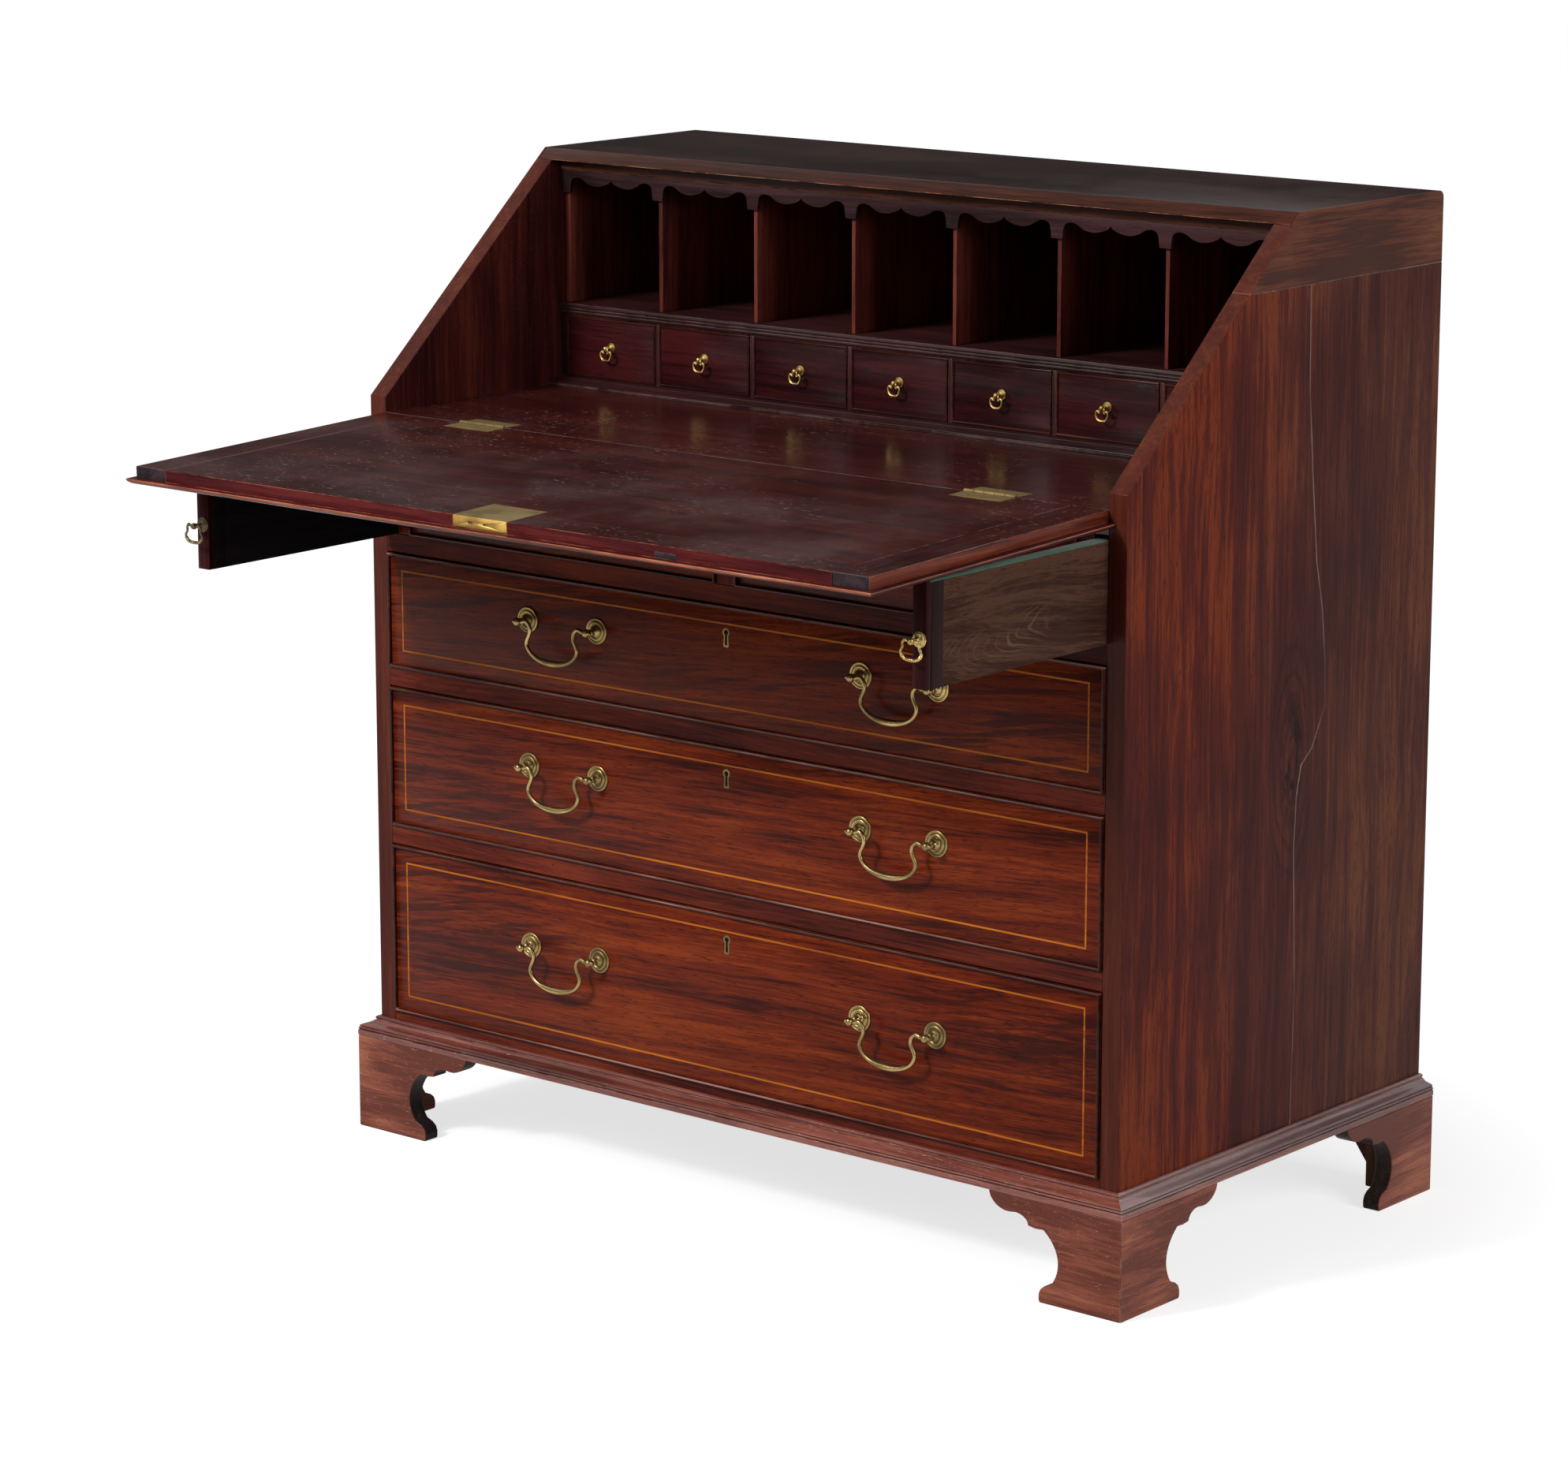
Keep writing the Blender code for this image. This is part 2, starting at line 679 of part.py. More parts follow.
def foot_points():
    """A bracket foot's outline as (distance from the corner, height), which ends at the top of the corner."""
    top = FOOT_HEIGHT - SEAT_GAP

    def sized(shares):
        return [(FOOT_REACH * reach_share, top * rise_share) for reach_share, rise_share in shares]

    hollow = arc_through(*sized(FOOT_HOLLOW_SHARES), ARC_STEPS)
    scoop = arc_through(*sized(FOOT_SCOOP_SHARES), ARC_STEPS // 2)
    bracket = sized(FOOT_TOE_SHARES) + hollow[1:] + sized(FOOT_STEP_SHARES) + scoop[1:]
    return [(0, 0)] + bracket + sized(FOOT_LOBE_SHARES) + [(0, top)]


def folded_board(name, outline, folds):
    """Boards with one outline that meet in a mitre: each fold places a (distance, depth, height)."""
    shape = bmesh.new()
    for place_of in folds:
        outer = [shape.verts.new(place_of(away, 0, up)) for away, up in outline]
        inner = [shape.verts.new(place_of(max(away, FOOT_BOARD), FOOT_BOARD, up)) for away, up in outline]
        shape.faces.new(outer)
        shape.faces.new(inner)
        for k in range(len(outline) - 1):
            shape.faces.new((outer[k], outer[k + 1], inner[k + 1], inner[k]))
    bmesh.ops.remove_doubles(shape, verts=shape.verts, dist=WELD)
    return from_bmesh(name, shape)


def foot_block(side, corner_y, inward):
    """The glue block in the corner of a foot."""
    board_inside = OUTER_HALF - FOOT_BOARD
    top = FOOT_HEIGHT - SEAT_GAP - FOOT_SET_IN
    low = (side * (board_inside + OVERLAP), corner_y + inward * (FOOT_BOARD - OVERLAP), FOOT_BLOCK_RAISE)
    high = (side * (board_inside - FOOT_BLOCK), corner_y + inward * (FOOT_BOARD + FOOT_BLOCK), top)
    return block("glue_block", low, high)


def front_foot(name, side):
    """A front bracket foot: two boards that meet at the corner, with a glue block behind them."""
    folds = (
        lambda away, depth, up: (side * (OUTER_HALF - away), FOOT_FRONT + depth, up),
        lambda away, depth, up: (side * (OUTER_HALF - depth), FOOT_FRONT + away, up),
    )
    foot = folded_board(name, foot_points(), folds)
    fuse(foot, foot_block(side, FOOT_FRONT, 1))
    return foot


def rear_foot(name, side):
    """A rear foot: a bracket at the side, a plain board at the back and a glue block."""
    inside = OUTER_HALF - FOOT_BOARD
    flank = [(CASE_DEPTH - away, up) for away, up in foot_points()]
    foot = prism(name, flank, "YZ", side * inside, side * OUTER_HALF)
    top = FOOT_HEIGHT - SEAT_GAP - FOOT_SET_IN
    plain = [
        (side * (inside + OVERLAP), FOOT_SET_IN),
        (side * (OUTER_HALF - REAR_BRACKET_TOE), FOOT_SET_IN),
        (side * (OUTER_HALF - REAR_BRACKET_REACH), top),
        (side * (inside + OVERLAP), top),
    ]
    back = CASE_DEPTH - FOOT_SET_IN
    fuse(foot, prism("back_bracket", plain, "XZ", back - REAR_BRACKET_THICK, back))
    fuse(foot, foot_block(side, back, -1))
    return foot


def bay_middles():
    """The middle of each gallery bay, from left to right."""
    return [(k - (BAYS - 1) / 2) * BAY_PITCH for k in range(BAYS)]


def fuse_uprights(piece, front, low, high):
    """Join the dividers between the bays and the two end standards to a gallery board."""
    back = INNER_BACK - OVERLAP
    for middle in bay_middles()[:-1]:
        start = middle + BAY_WIDTH / 2
        fuse(piece, block("divider", (start, front, low), (start + DIVIDER_THICK, back, high)))
    for side in (-1, 1):
        outer = BOARD_HALF - SEAT_GAP
        fuse(piece, block("standard", (side * BAY_INNER_HALF, front, low), (side * outer, back, high)))


def gallery_base():
    """The board under the small drawers, moulded in front, with the dividers between them."""
    low = WRITE_HEIGHT + SEAT_GAP
    front = [
        (GALLERY_FRONT - GALLERY_BASE_REACH * out_share, low + GALLERY_BASE_HEIGHT * up_share)
        for out_share, up_share in GALLERY_BASE_SHARES
    ]
    outline = [(INNER_BACK, low)] + front + [(INNER_BACK, GALLERY_BASE_TOP)]
    board = prism("gallery_base", outline, "YZ", -BOARD_HALF, BOARD_HALF)
    fuse_uprights(board, GALLERY_FRONT, GALLERY_BASE_TOP - OVERLAP, SHELF_BOTTOM - SEAT_GAP)
    return board


def pigeonholes():
    """The reeded shelf over the small drawers with the partitions and end standards that stand on it."""
    front = [
        (GALLERY_FRONT - SHELF_REACH * out_share, SHELF_BOTTOM + SHELF_THICK * up_share)
        for out_share, up_share in SHELF_REED_SHARES
    ]
    outline = [(INNER_BACK, SHELF_BOTTOM)] + front + [(INNER_BACK, SHELF_TOP)]
    shelf = prism("pigeonholes", outline, "YZ", -BOARD_HALF, BOARD_HALF)
    fuse_uprights(shelf, VALANCE_BACK + SEAT_GAP, SHELF_TOP - OVERLAP, TOP_UNDERSIDE - SEAT_GAP)
    return shelf


def valance():
    """The scalloped strip above the pigeonholes, with a drop in front of each partition."""
    top = TOP_UNDERSIDE - SEAT_GAP
    right = [
        (BAY_PITCH / 2 * place_share, top - VALANCE_DROP * drop_share)
        for place_share, drop_share in VALANCE_HALF_BAY_SHARES
    ]
    left = [(-x, z) for x, z in reversed(right[1:])]
    lower = [(middle + x, z) for middle in bay_middles() for x, z in left + right]
    bottom = top - VALANCE_DROP
    outline = [(-BOARD_HALF, top), (-BOARD_HALF, bottom)] + lower + [(BOARD_HALF, bottom), (BOARD_HALF, top)]
    return prism("valance", outline, "XZ", VALANCE_FRONT, VALANCE_BACK)


def beaded_front(name, half_width, ends, thick, bead):
    """A drawer front with a bead round its edge: the bead's width, how far it stands out and its rounding."""
    low, high = ends
    width, proud, rounding = bead
    steps = (
        (0, thick),
        (0, rounding - proud),
        (rounding, -proud),
        (width - rounding, -proud),
        (width, rounding - proud),
        (width, 0),
    )
    rings = []
    for inset, depth in steps:
        half = half_width - inset
        bottom, top = low + inset, high - inset
        rings.append([(-half, depth, bottom), (half, depth, bottom), (half, depth, top), (-half, depth, top)])
    return lofted(name, rings)


def open_box(name, half_width, height, spans, walls):
    """A drawer's sides, bottom and back, open at the top; its spans are its front, back and cavity's front."""
    front, back, cavity_front = spans
    wall, floor = walls
    tray = block(name, (-half_width, front, SEAT_GAP), (half_width, back, height))
    low = (wall - half_width, cavity_front, SEAT_GAP + floor)
    carve(tray, block("cavity", low, (half_width - wall, back - wall, height + OVERRUN)))
    return tray


def keyhole_outline():
    """A keyhole's outline about its middle: a round head over a slot."""
    head = KEYHOLE_HEIGHT / 2 - KEYHOLE_ROUND
    half_gap = math.asin(KEYHOLE_SLOT / 2 / KEYHOLE_ROUND)
    turn = (math.tau - 2 * half_gap) / KEYHOLE_SIDES
    angles = [half_gap - math.pi / 2 + turn * k for k in range(KEYHOLE_SIDES + 1)]
    points = [(KEYHOLE_ROUND * math.cos(angle), head + KEYHOLE_ROUND * math.sin(angle)) for angle in angles]
    return points + [(-KEYHOLE_SLOT / 2, -KEYHOLE_HEIGHT / 2), (KEYHOLE_SLOT / 2, -KEYHOLE_HEIGHT / 2)]


def cut_keyhole(front, height):
    """Cut a shallow keyhole in a drawer's face, below its top edge."""
    middle = height - KEYHOLE_DROP
    outline = [(x, z + middle) for x, z in keyhole_outline()]
    carve(front, prism("keyhole", outline, "XZ", -OVERRUN, KEYHOLE_DEPTH))


def post_profile(plate, reach, ball):
    """The turned profile of a handle post: a stepped plate, a neck and a ball."""
    steps = [(plate * wide_share, reach * reach_share) for wide_share, reach_share in POST_SHARES]
    neck = math.asin(POST_NECK_SHARE)
    angles = [neck + (math.pi - neck) * step_share for step_share in (0, *BALL_STEP_SHARES)]
    globe = [(ball * math.sin(angle), reach - ball * math.cos(angle)) for angle in angles]
    return [(0, -OVERLAP), (plate, -OVERLAP)] + steps + globe + [(0, reach + ball)]


def add_post(front, x, z, sizes, sides, bore):
    """Join a handle post to a front; a bore has a radius, and a start and end along x from the middle."""
    plate, reach, ball = sizes
    post = turned("post", post_profile(plate, reach, ball), sides, (x, 0, z))
    if bore:
        radius, start, end = bore
        carve(post, rod("bore", radius, x + start, x + end, sides, (-reach, z)))
    fuse(front, post)


def add_handle_posts(front, middle, z):
    """Join the two posts of a swan-neck handle to a drawer front, each bored from its inner side."""
    for side in (-1, 1):
        deep = -side * (HANDLE_BALL - HANDLE_BORE_DEPTH)
        mouth = -side * (HANDLE_BALL + OVERRUN)
        bore = (HANDLE_BORE, deep, mouth)
        sizes = (HANDLE_PLATE, HANDLE_POST, HANDLE_BALL)
        add_post(front, middle + side * HANDLE_SPAN / 2, z, sizes, HANDLE_SIDES, bore)


def bail(name, right_half, radius):
    """A bent rod, symmetric about x = 0, that hangs from its pins: its half lists (x, z, thickness share)."""
    points = right_half + [(0, right_half[-1][1], right_half[-1][2])]
    points += [(-x, z, share) for x, z, share in reversed(right_half)]
    curve = bpy.data.curves.new(name, "CURVE")
    curve.dimensions = "3D"
    curve.bevel_depth = radius
    curve.bevel_resolution = BAIL_RESOLUTION
    curve.use_fill_caps = True
    spline = curve.splines.new("POLY")
    spline.points.add(len(points) - 1)
    for point, (x, z, share) in zip(spline.points, points):
        point.co = (x, 0, z, 1)
        point.radius = share
    made = bpy.data.objects.new(name, curve)
    bpy.context.scene.collection.objects.link(made)
    return made


def swan_neck_bail(name):
    """The bail of a large handle, with its pins in the balls of the posts."""
    half = HANDLE_SPAN / 2
    pin_share = HANDLE_PIN / HANDLE_ROD
    pin_end = half - HANDLE_BALL + HANDLE_PIN_REACH
    path = [(pin_end, 0, pin_share), (half - HANDLE_BALL - SEAT_GAP, 0, pin_share)]
    for (out_share, down_share), swell_share in zip(SWAN_NECK_SHARES, SWAN_NECK_SWELL_SHARES):
        path.append((half * out_share, HANDLE_DROP * down_share, swell_share))
    return bail(name, path, HANDLE_ROD)


def small_bail(name, shares, half_width, drop, ball, rod_radius, swell, pin):
    """The bail of a small pull: both ends meet inside the ball of its post."""
    path = [(PULL_PIN_HOLD, 0, pin / rod_radius), (ball + SEAT_GAP, 0, pin / rod_radius)]
    for k, (out_share, down_share) in enumerate(shares):
        grown = 1 + (swell / rod_radius - 1) * k / (len(shares) - 1)
        path.append((half_width * out_share, drop * down_share, grown))
    return bail(name, path, rod_radius)


def through_bore(radius, ball):
    """A bore that runs right through a ball."""
    return (radius, -(ball + OVERRUN), ball + OVERRUN)


def build_case(desk):
    """The fixed case: boards, rails, partitions, moulding, feet and gallery."""
    for side, word in ((-1, "left"), (1, "right")):
        settle(side_board(f"side_{word}", side), desk, "case_mahogany")
        settle(loper_partition(f"loper_partition_{word}", side), desk, "case_mahogany")
        settle(side_moulding(f"base_moulding_{word}", side), desk, "case_mahogany")
        settle(front_foot(f"foot_front_{word}", side), desk, "case_mahogany")
        settle(rear_foot(f"foot_rear_{word}", side), desk, "case_mahogany")
    settle(front_moulding(), desk, "case_mahogany")
    settle(top_board(), desk, "case_mahogany")
    settle(back_boards(), desk, "drawer_oak")
    bottom = shelf_with_rail("bottom_board", BOTTOM_TOP, FRONT_RAIL_DEPTH, FOOT_HEIGHT, BOTTOM_THICK)
    settle(bottom, desk, "case_mahogany")
    for name, low, height in zip(("rail_low", "rail_mid", "rail_high"), OPENING_BOTTOMS, OPENING_HEIGHTS):
        rail_bottom = low + height
        rail = shelf_with_rail(name, rail_bottom + RAIL_THICK, RAIL_DEPTH, rail_bottom, DUSTBOARD_THICK)
        settle(rail, desk, "case_mahogany")
    settle(short_drawer_divider(), desk, "case_mahogany")
    settle(writing_board(), desk, "inner_mahogany")
    settle(gallery_base(), desk, "inner_mahogany")
    settle(pigeonholes(), desk, "inner_mahogany")
    settle(valance(), desk, "inner_mahogany")
    for side, word in ((-1, "left"), (1, "right")):
        knuckles = range(0, KNUCKLES, 2)
        leaf = hinge_leaf(f"hinge_fixed_{word}", side * HINGE_PLACE, WRITE_HEIGHT, 1, knuckles, True)
        settle(leaf, desk, "aged_brass")


def fall_panel():
    """The fall in its own frame: it reaches towards -Y from the pin line, with its inner face up at z = 0."""
    body_half = INNER_HALF - FALL_SIDE_GAP
    low = (-body_half, -FALL_LENGTH, -(FALL_BODY + OVERLAP))
    panel = block("fall_panel", low, (body_half, -FALL_JOINT, 0))
    rings = []
    for k in range(LIP_STEPS + 1):
        angle = math.pi / 2 * k / LIP_STEPS
        run = LIP_RUN * (1 - math.cos(angle))
        depth = -(FALL_BODY + LIP_THICK * math.sin(angle))
        half = body_half + LIP_REACH - run
        front = run - FALL_LENGTH - LIP_REACH
        ends = ((-half, front), (half, front), (half, -FALL_JOINT), (-half, -FALL_JOINT))
        rings.append([(x, y, depth) for x, y in ends])
    fuse(panel, lofted("lip", rings))
    for middle in (-HINGE_PLACE, HINGE_PLACE):
        start, end = hinge_spots(middle)
        leaf_low = (start, -HINGE_LEAF - SEAT_GAP, -HINGE_THICK - SEAT_GAP)
        carve(panel, block("recess", leaf_low, (end, OVERRUN, OVERRUN)))
        carve(panel, rod("groove", KNUCKLE_RADIUS + SEAT_GAP, start, end, KNUCKLE_SIDES))
    for cutter in lock_blocks(SEAT_GAP, OVERRUN):
        carve(panel, cutter)
    middle = FALL_LENGTH - FALL_KEYHOLE_DROP
    outline = [(x, -(z + middle)) for x, z in keyhole_outline()]
    carve(panel, prism("keyhole", outline, "XY", -FALL_THICK - OVERRUN, KEYHOLE_DEPTH - FALL_THICK))
    return panel


def lock_blocks(grow, past):
    """The blocks of the fall's lock, or of its recess, which grows by a clearance and runs past the faces."""
    case_half = LOCK_CASE_WIDTH / 2 + grow
    half = LOCK_WIDTH / 2 + grow
    back = LOCK_DEPTH - FALL_LENGTH + grow
    front = -FALL_LENGTH - past
    edge_back = LOCK_THICK - FALL_LENGTH + grow
    case_front = LOCK_THICK / 2 - FALL_LENGTH
    return [
        block("lock_plate", (-half, front, -LOCK_THICK - grow), (half, back, past)),
        block("lock_edge", (-half, front, -LOCK_EDGE_DROP - grow), (half, edge_back, past)),
        block(
            "lock_case",
            (-case_half, case_front, -LOCK_CASE_DROP - grow),
            (case_half, LOCK_CASE_DEPTH - FALL_LENGTH + grow, -LOCK_THICK / 2),
        ),
    ]


def build_fall(desk):
    """The fall with its lock and moving hinge leaves, on an empty at the pin line."""
    hinge = empty("fall_hinge", desk, (0, 0, WRITE_HEIGHT))
    hinge.rotation_euler.x = DROOP
    settle(fall_panel(), hinge, "inner_mahogany")
    plate, *others = lock_blocks(0, 0)
    plate.name = "fall_lock"
    for other in others:
        fuse(plate, other)
    settle(plate, hinge, "aged_brass")
    for side, word in ((-1, "left"), (1, "right")):
        knuckles = range(1, KNUCKLES, 2)
        leaf = hinge_leaf(f"hinge_moving_{word}", side * HINGE_PLACE, 0, -1, knuckles, False)
        settle(leaf, hinge, "aged_brass")


def build_lopers(desk):
    """The two lopers, pulled out, each with the pull on its front end."""
    for side, word in ((-1, "left"), (1, "right")):
        slide = empty(f"loper_slide_{word}", desk, (side * LOPER_MIDDLE, -LOPER_OUT, LOPER_BOTTOM))
        half = LOPER_THICK / 2
        loper = block(f"loper_{word}", (-half, 0, 0), (half, LOPER_LENGTH, LOPER_HEIGHT))
        sizes = (LOPER_PLATE, LOPER_POST, LOPER_BALL)
        add_post(loper, 0, LOPER_PULL_RAISE, sizes, SMALL_PULL_SIDES, through_bore(LOPER_BORE, LOPER_BALL))
        settle(loper, slide, "loper_oak")
        pull = small_bail(
            f"loper_pull_{word}",
            LOPER_PULL_SHARES,
            LOPER_PULL_HALF_WIDTH,
            LOPER_PULL_DROP,
            LOPER_BALL,
            LOPER_PULL_ROD,
            LOPER_PULL_SWELL,
            LOPER_PULL_PIN,
        )
        settle(pull, slide, "aged_brass", (0, -LOPER_POST, LOPER_PULL_RAISE))


def build_long_drawers(desk):
    """The three long drawers, each a front and a tray, with two handles."""
    rows = zip(("low", "mid", "high"), OPENING_BOTTOMS, OPENING_HEIGHTS, HANDLE_RISE_SHARES)
    for word, bottom, height, rise_share in rows:
        slide = empty(f"drawer_slide_{word}", desk, (0, 0, bottom))
        bead = (BEAD_WIDTH, BEAD_PROUD, BEAD_ROUND)
        ends = (SEAT_GAP, height - DRAWER_TOP_GAP)
        front = beaded_front(f"drawer_front_{word}", DRAWER_HALF, ends, DRAWER_FRONT_THICK, bead)
        cut_keyhole(front, height)
        pivot = height / 2 + height * rise_share
        for side, side_word in ((-1, "left"), (1, "right")):
            add_handle_posts(front, side * HANDLE_PLACE, pivot)
            handle = swan_neck_bail(f"bail_{word}_{side_word}")
            settle(handle, slide, "aged_brass", (side * HANDLE_PLACE, -HANDLE_POST, pivot))
        settle(front, slide, "front_mahogany")
        start = DRAWER_FRONT_THICK + SEAT_GAP
        spans = (start, TRAY_BACK, start - OVERRUN)
        walls = (TRAY_WALL, TRAY_BOTTOM)
        tray = open_box(f"drawer_tray_{word}", DRAWER_HALF, height - TRAY_HEADROOM, spans, walls)
        settle(tray, slide, "drawer_oak")


def build_short_drawers(desk):
    """The two short drawers between the lopers, each with a knob."""
    height = WRITE_UNDERSIDE - SHORT_BOTTOM
    inner = STILE_WIDTH / 2 + DRAWER_SIDE_GAP
    outer = PARTITION_INNER - DRAWER_SIDE_GAP
    half = (outer - inner) / 2
    for side, word in ((-1, "left"), (1, "right")):
        slide = empty(f"short_slide_{word}", desk, (side * (outer + inner) / 2, 0, SHORT_BOTTOM))
        bead = (BEAD_WIDTH, BEAD_PROUD, BEAD_ROUND)
        ends = (SEAT_GAP, height - DRAWER_TOP_GAP)
        drawer = beaded_front(f"short_drawer_{word}", half, ends, DRAWER_FRONT_THICK, bead)
        add_post(drawer, 0, height / 2, (KNOB_PLATE, KNOB_POST, KNOB_BALL), SMALL_PULL_SIDES, None)
        spans = (DRAWER_FRONT_THICK - OVERLAP, TRAY_BACK, DRAWER_FRONT_THICK)
        walls = (TRAY_WALL, TRAY_BOTTOM)
        fuse(drawer, open_box("box", half, height - TRAY_HEADROOM, spans, walls))
        settle(drawer, slide, "front_mahogany")


def build_small_drawers(desk):
    """The small drawers of the gallery, each with a hanging ring."""
    half = BAY_WIDTH / 2 - SMALL_GAP
    for k, middle in enumerate(bay_middles(), start=1):
        slide = empty(f"small_slide_{k}", desk, (middle, GALLERY_FRONT, GALLERY_BASE_TOP))
        bead = (SMALL_BEAD_WIDTH, SMALL_BEAD_PROUD, SMALL_BEAD_ROUND)
        ends = (SEAT_GAP, SMALL_OPENING_HEIGHT - SMALL_GAP)
        drawer = beaded_front(f"small_drawer_{k}", half, ends, SMALL_FRONT_THICK, bead)
        pivot = SMALL_OPENING_HEIGHT / 2 + RING_RAISE
        sizes = (RING_PLATE, RING_POST, RING_BALL)
        add_post(drawer, 0, pivot, sizes, SMALL_PULL_SIDES, through_bore(RING_BORE, RING_BALL))
        spans = (SMALL_FRONT_THICK - OVERLAP, SMALL_DRAWER_DEPTH, SMALL_FRONT_THICK)
        walls = (SMALL_WALL, SMALL_BOTTOM)
        fuse(drawer, open_box("box", half, SMALL_OPENING_HEIGHT - SMALL_HEADROOM, spans, walls))
        settle(drawer, slide, "inner_mahogany")
        ring = small_bail(
            f"ring_pull_{k}",
            RING_SHARES,
            RING_HALF_WIDTH,
            RING_DROP,
            RING_BALL,
            RING_ROD,
            RING_SWELL,
            RING_PIN,
        )
        settle(ring, slide, "aged_brass", (0, -RING_POST, pivot))


def main():
    """Build the whole desk on one empty, which sets it astride the middle of its footprint."""
    clear_scene()
    desk = empty("desk", None, (0, CASE_FRONT, 0))
    build_case(desk)
    build_fall(desk)
    build_lopers(desk)
    build_long_drawers(desk)
    build_short_drawers(desk)
    build_small_drawers(desk)


main()
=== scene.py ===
"""Dresses the slant-front desk: fine shapes, wood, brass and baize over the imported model, in one frame."""

import json
import logging
import math
from collections.abc import Callable, Iterator, Sequence
from contextlib import contextmanager
from dataclasses import dataclass
from enum import Enum

import bpy
from mathutils import Matrix, Vector


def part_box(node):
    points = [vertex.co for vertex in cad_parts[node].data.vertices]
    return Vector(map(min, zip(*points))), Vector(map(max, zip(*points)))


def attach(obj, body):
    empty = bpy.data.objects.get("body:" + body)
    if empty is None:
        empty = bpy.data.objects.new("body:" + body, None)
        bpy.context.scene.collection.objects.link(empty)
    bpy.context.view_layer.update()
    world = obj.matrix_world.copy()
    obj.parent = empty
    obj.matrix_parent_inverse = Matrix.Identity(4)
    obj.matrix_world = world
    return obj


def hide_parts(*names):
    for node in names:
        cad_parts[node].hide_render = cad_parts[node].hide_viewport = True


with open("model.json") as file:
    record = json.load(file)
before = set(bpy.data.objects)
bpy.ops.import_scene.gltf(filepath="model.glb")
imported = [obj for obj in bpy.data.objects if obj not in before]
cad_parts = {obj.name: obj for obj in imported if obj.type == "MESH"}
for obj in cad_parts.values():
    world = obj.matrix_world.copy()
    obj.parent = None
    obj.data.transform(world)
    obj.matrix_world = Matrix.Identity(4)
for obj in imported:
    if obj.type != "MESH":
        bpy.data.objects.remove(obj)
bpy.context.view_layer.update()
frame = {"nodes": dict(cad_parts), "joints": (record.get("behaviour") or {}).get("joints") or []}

log = logging.getLogger("desk")

Outline = Sequence[tuple[float, float]]
Colour = tuple[float, float, float]
Piece = bpy.types.Object
Material = bpy.types.Material
Node = bpy.types.Node
Socket = bpy.types.NodeSocket

# Clearance between neighbours
GAP = 0.0003
# How far edges are rounded: metal plates, fine joinery, plain boards, and what hands and feet have rubbed
SHARP = 0.0002
CRISP = 0.0003
FINE = 0.0006
ARRIS = 0.0007
EASED = 0.0009
ROUNDED = 0.0012
# The angle up to which neighbouring faces shade as one, and the reach within which points are merged
SMOOTH_ANGLE = math.radians(35)
WELD = 0.00001


class Side(Enum):
    """The two hands of the desk, seen from the front."""

    LEFT = -1
    RIGHT = 1

    @property
    def word(self) -> str:
        """The side's name as it stands in node names."""
        return self.name.lower()


class Plane(Enum):
    """The plane that an outline is drawn in."""

    FRONT = "XZ"
    FLANK = "YZ"

    def spot(self, first: float, second: float, depth: float) -> Vector:
        """Place a point of the plane at a depth across it."""
        if self is Plane.FRONT:
            return Vector((first, depth, second))
        return Vector((depth, first, second))


class Grain(Enum):
    """The way that the grain runs, as the turn that lays it along X."""

    ALONG_X = (0.0, 0.0, 0.0)
    ALONG_Y = (0.0, 0.0, -math.pi / 2)
    ALONG_Z = (0.0, math.pi / 2, 0.0)
    ALONG_SLANT = (math.radians(41), 0.0, -math.pi / 2)


class Axis(Enum):
    """An axis that a turned piece stands on, as the turn from +Z."""

    FORWARD = (math.pi / 2, 0.0, 0.0)
    SIDEWAYS = (0.0, math.pi / 2, 0.0)
    UP = (0.0, 0.0, 0.0)


def srgb(red: int, green: int, blue: int) -> Colour:
    """Turn a screen colour into the linear one that shaders work in."""
    shares = (value / 255 for value in (red, green, blue))
    return tuple(s / 12.92 if s <= 0.04045 else ((s + 0.055) / 1.055) ** 2.4 for s in shares)


# Modelling


def arc(start: float, end: float, steps: int) -> list[float]:
    """Evenly spaced angles from a start to an end, both among them."""
    return [start + (end - start) * k / steps for k in range(steps + 1)]


def curve_through(first: tuple, middle: tuple, last: tuple, steps: int) -> Outline:
    """Points on the circle through three points, without the first."""
    (ax, ay), (bx, by), (cx, cy) = first, middle, last
    double = 2 * (ax * (by - cy) + bx * (cy - ay) + cx * (ay - by))
    squares = [x * x + y * y for x, y in (first, middle, last)]
    x = (squares[0] * (by - cy) + squares[1] * (cy - ay) + squares[2] * (ay - by)) / double
    y = (squares[0] * (cx - bx) + squares[1] * (ax - cx) + squares[2] * (bx - ax)) / double
    radius = math.hypot(ax - x, ay - y)
    start = math.atan2(ay - y, ax - x)
    turn = math.atan2(cy - y, cx - x) - start
    turn = turn % math.tau if double > 0 else -((-turn) % math.tau)
    return [(x + radius * math.cos(a), y + radius * math.sin(a)) for a in arc(start, start + turn, steps)[1:]]


def choose(piece: Piece) -> None:
    """Select one piece alone and make it active."""
    bpy.ops.object.select_all(action="DESELECT")
    piece.select_set(True)
    bpy.context.view_layer.objects.active = piece


@contextmanager
def editing(piece: Piece) -> Iterator[None]:
    """Open a piece in edit mode with all of it selected, and leave the mode afterwards."""
    choose(piece)
    bpy.ops.object.mode_set(mode="EDIT")
    bpy.ops.mesh.select_mode(type="VERT")
    bpy.ops.mesh.select_all(action="SELECT")
    yield
    bpy.ops.object.mode_set(mode="OBJECT")


def bake_place(piece: Piece) -> None:
    """Move a piece's place, turn and scale into its mesh."""
    choose(piece)
    bpy.ops.object.transform_apply(location=True, rotation=True, scale=True)


def apply(piece: Piece, kind: str, **settings: object) -> None:
    """Add a modifier with the given settings and apply it."""
    choose(piece)
    change = piece.modifiers.new(kind.lower(), kind)
    for setting, value in settings.items():
        setattr(change, setting, value)
    bpy.ops.object.modifier_apply(modifier=change.name)


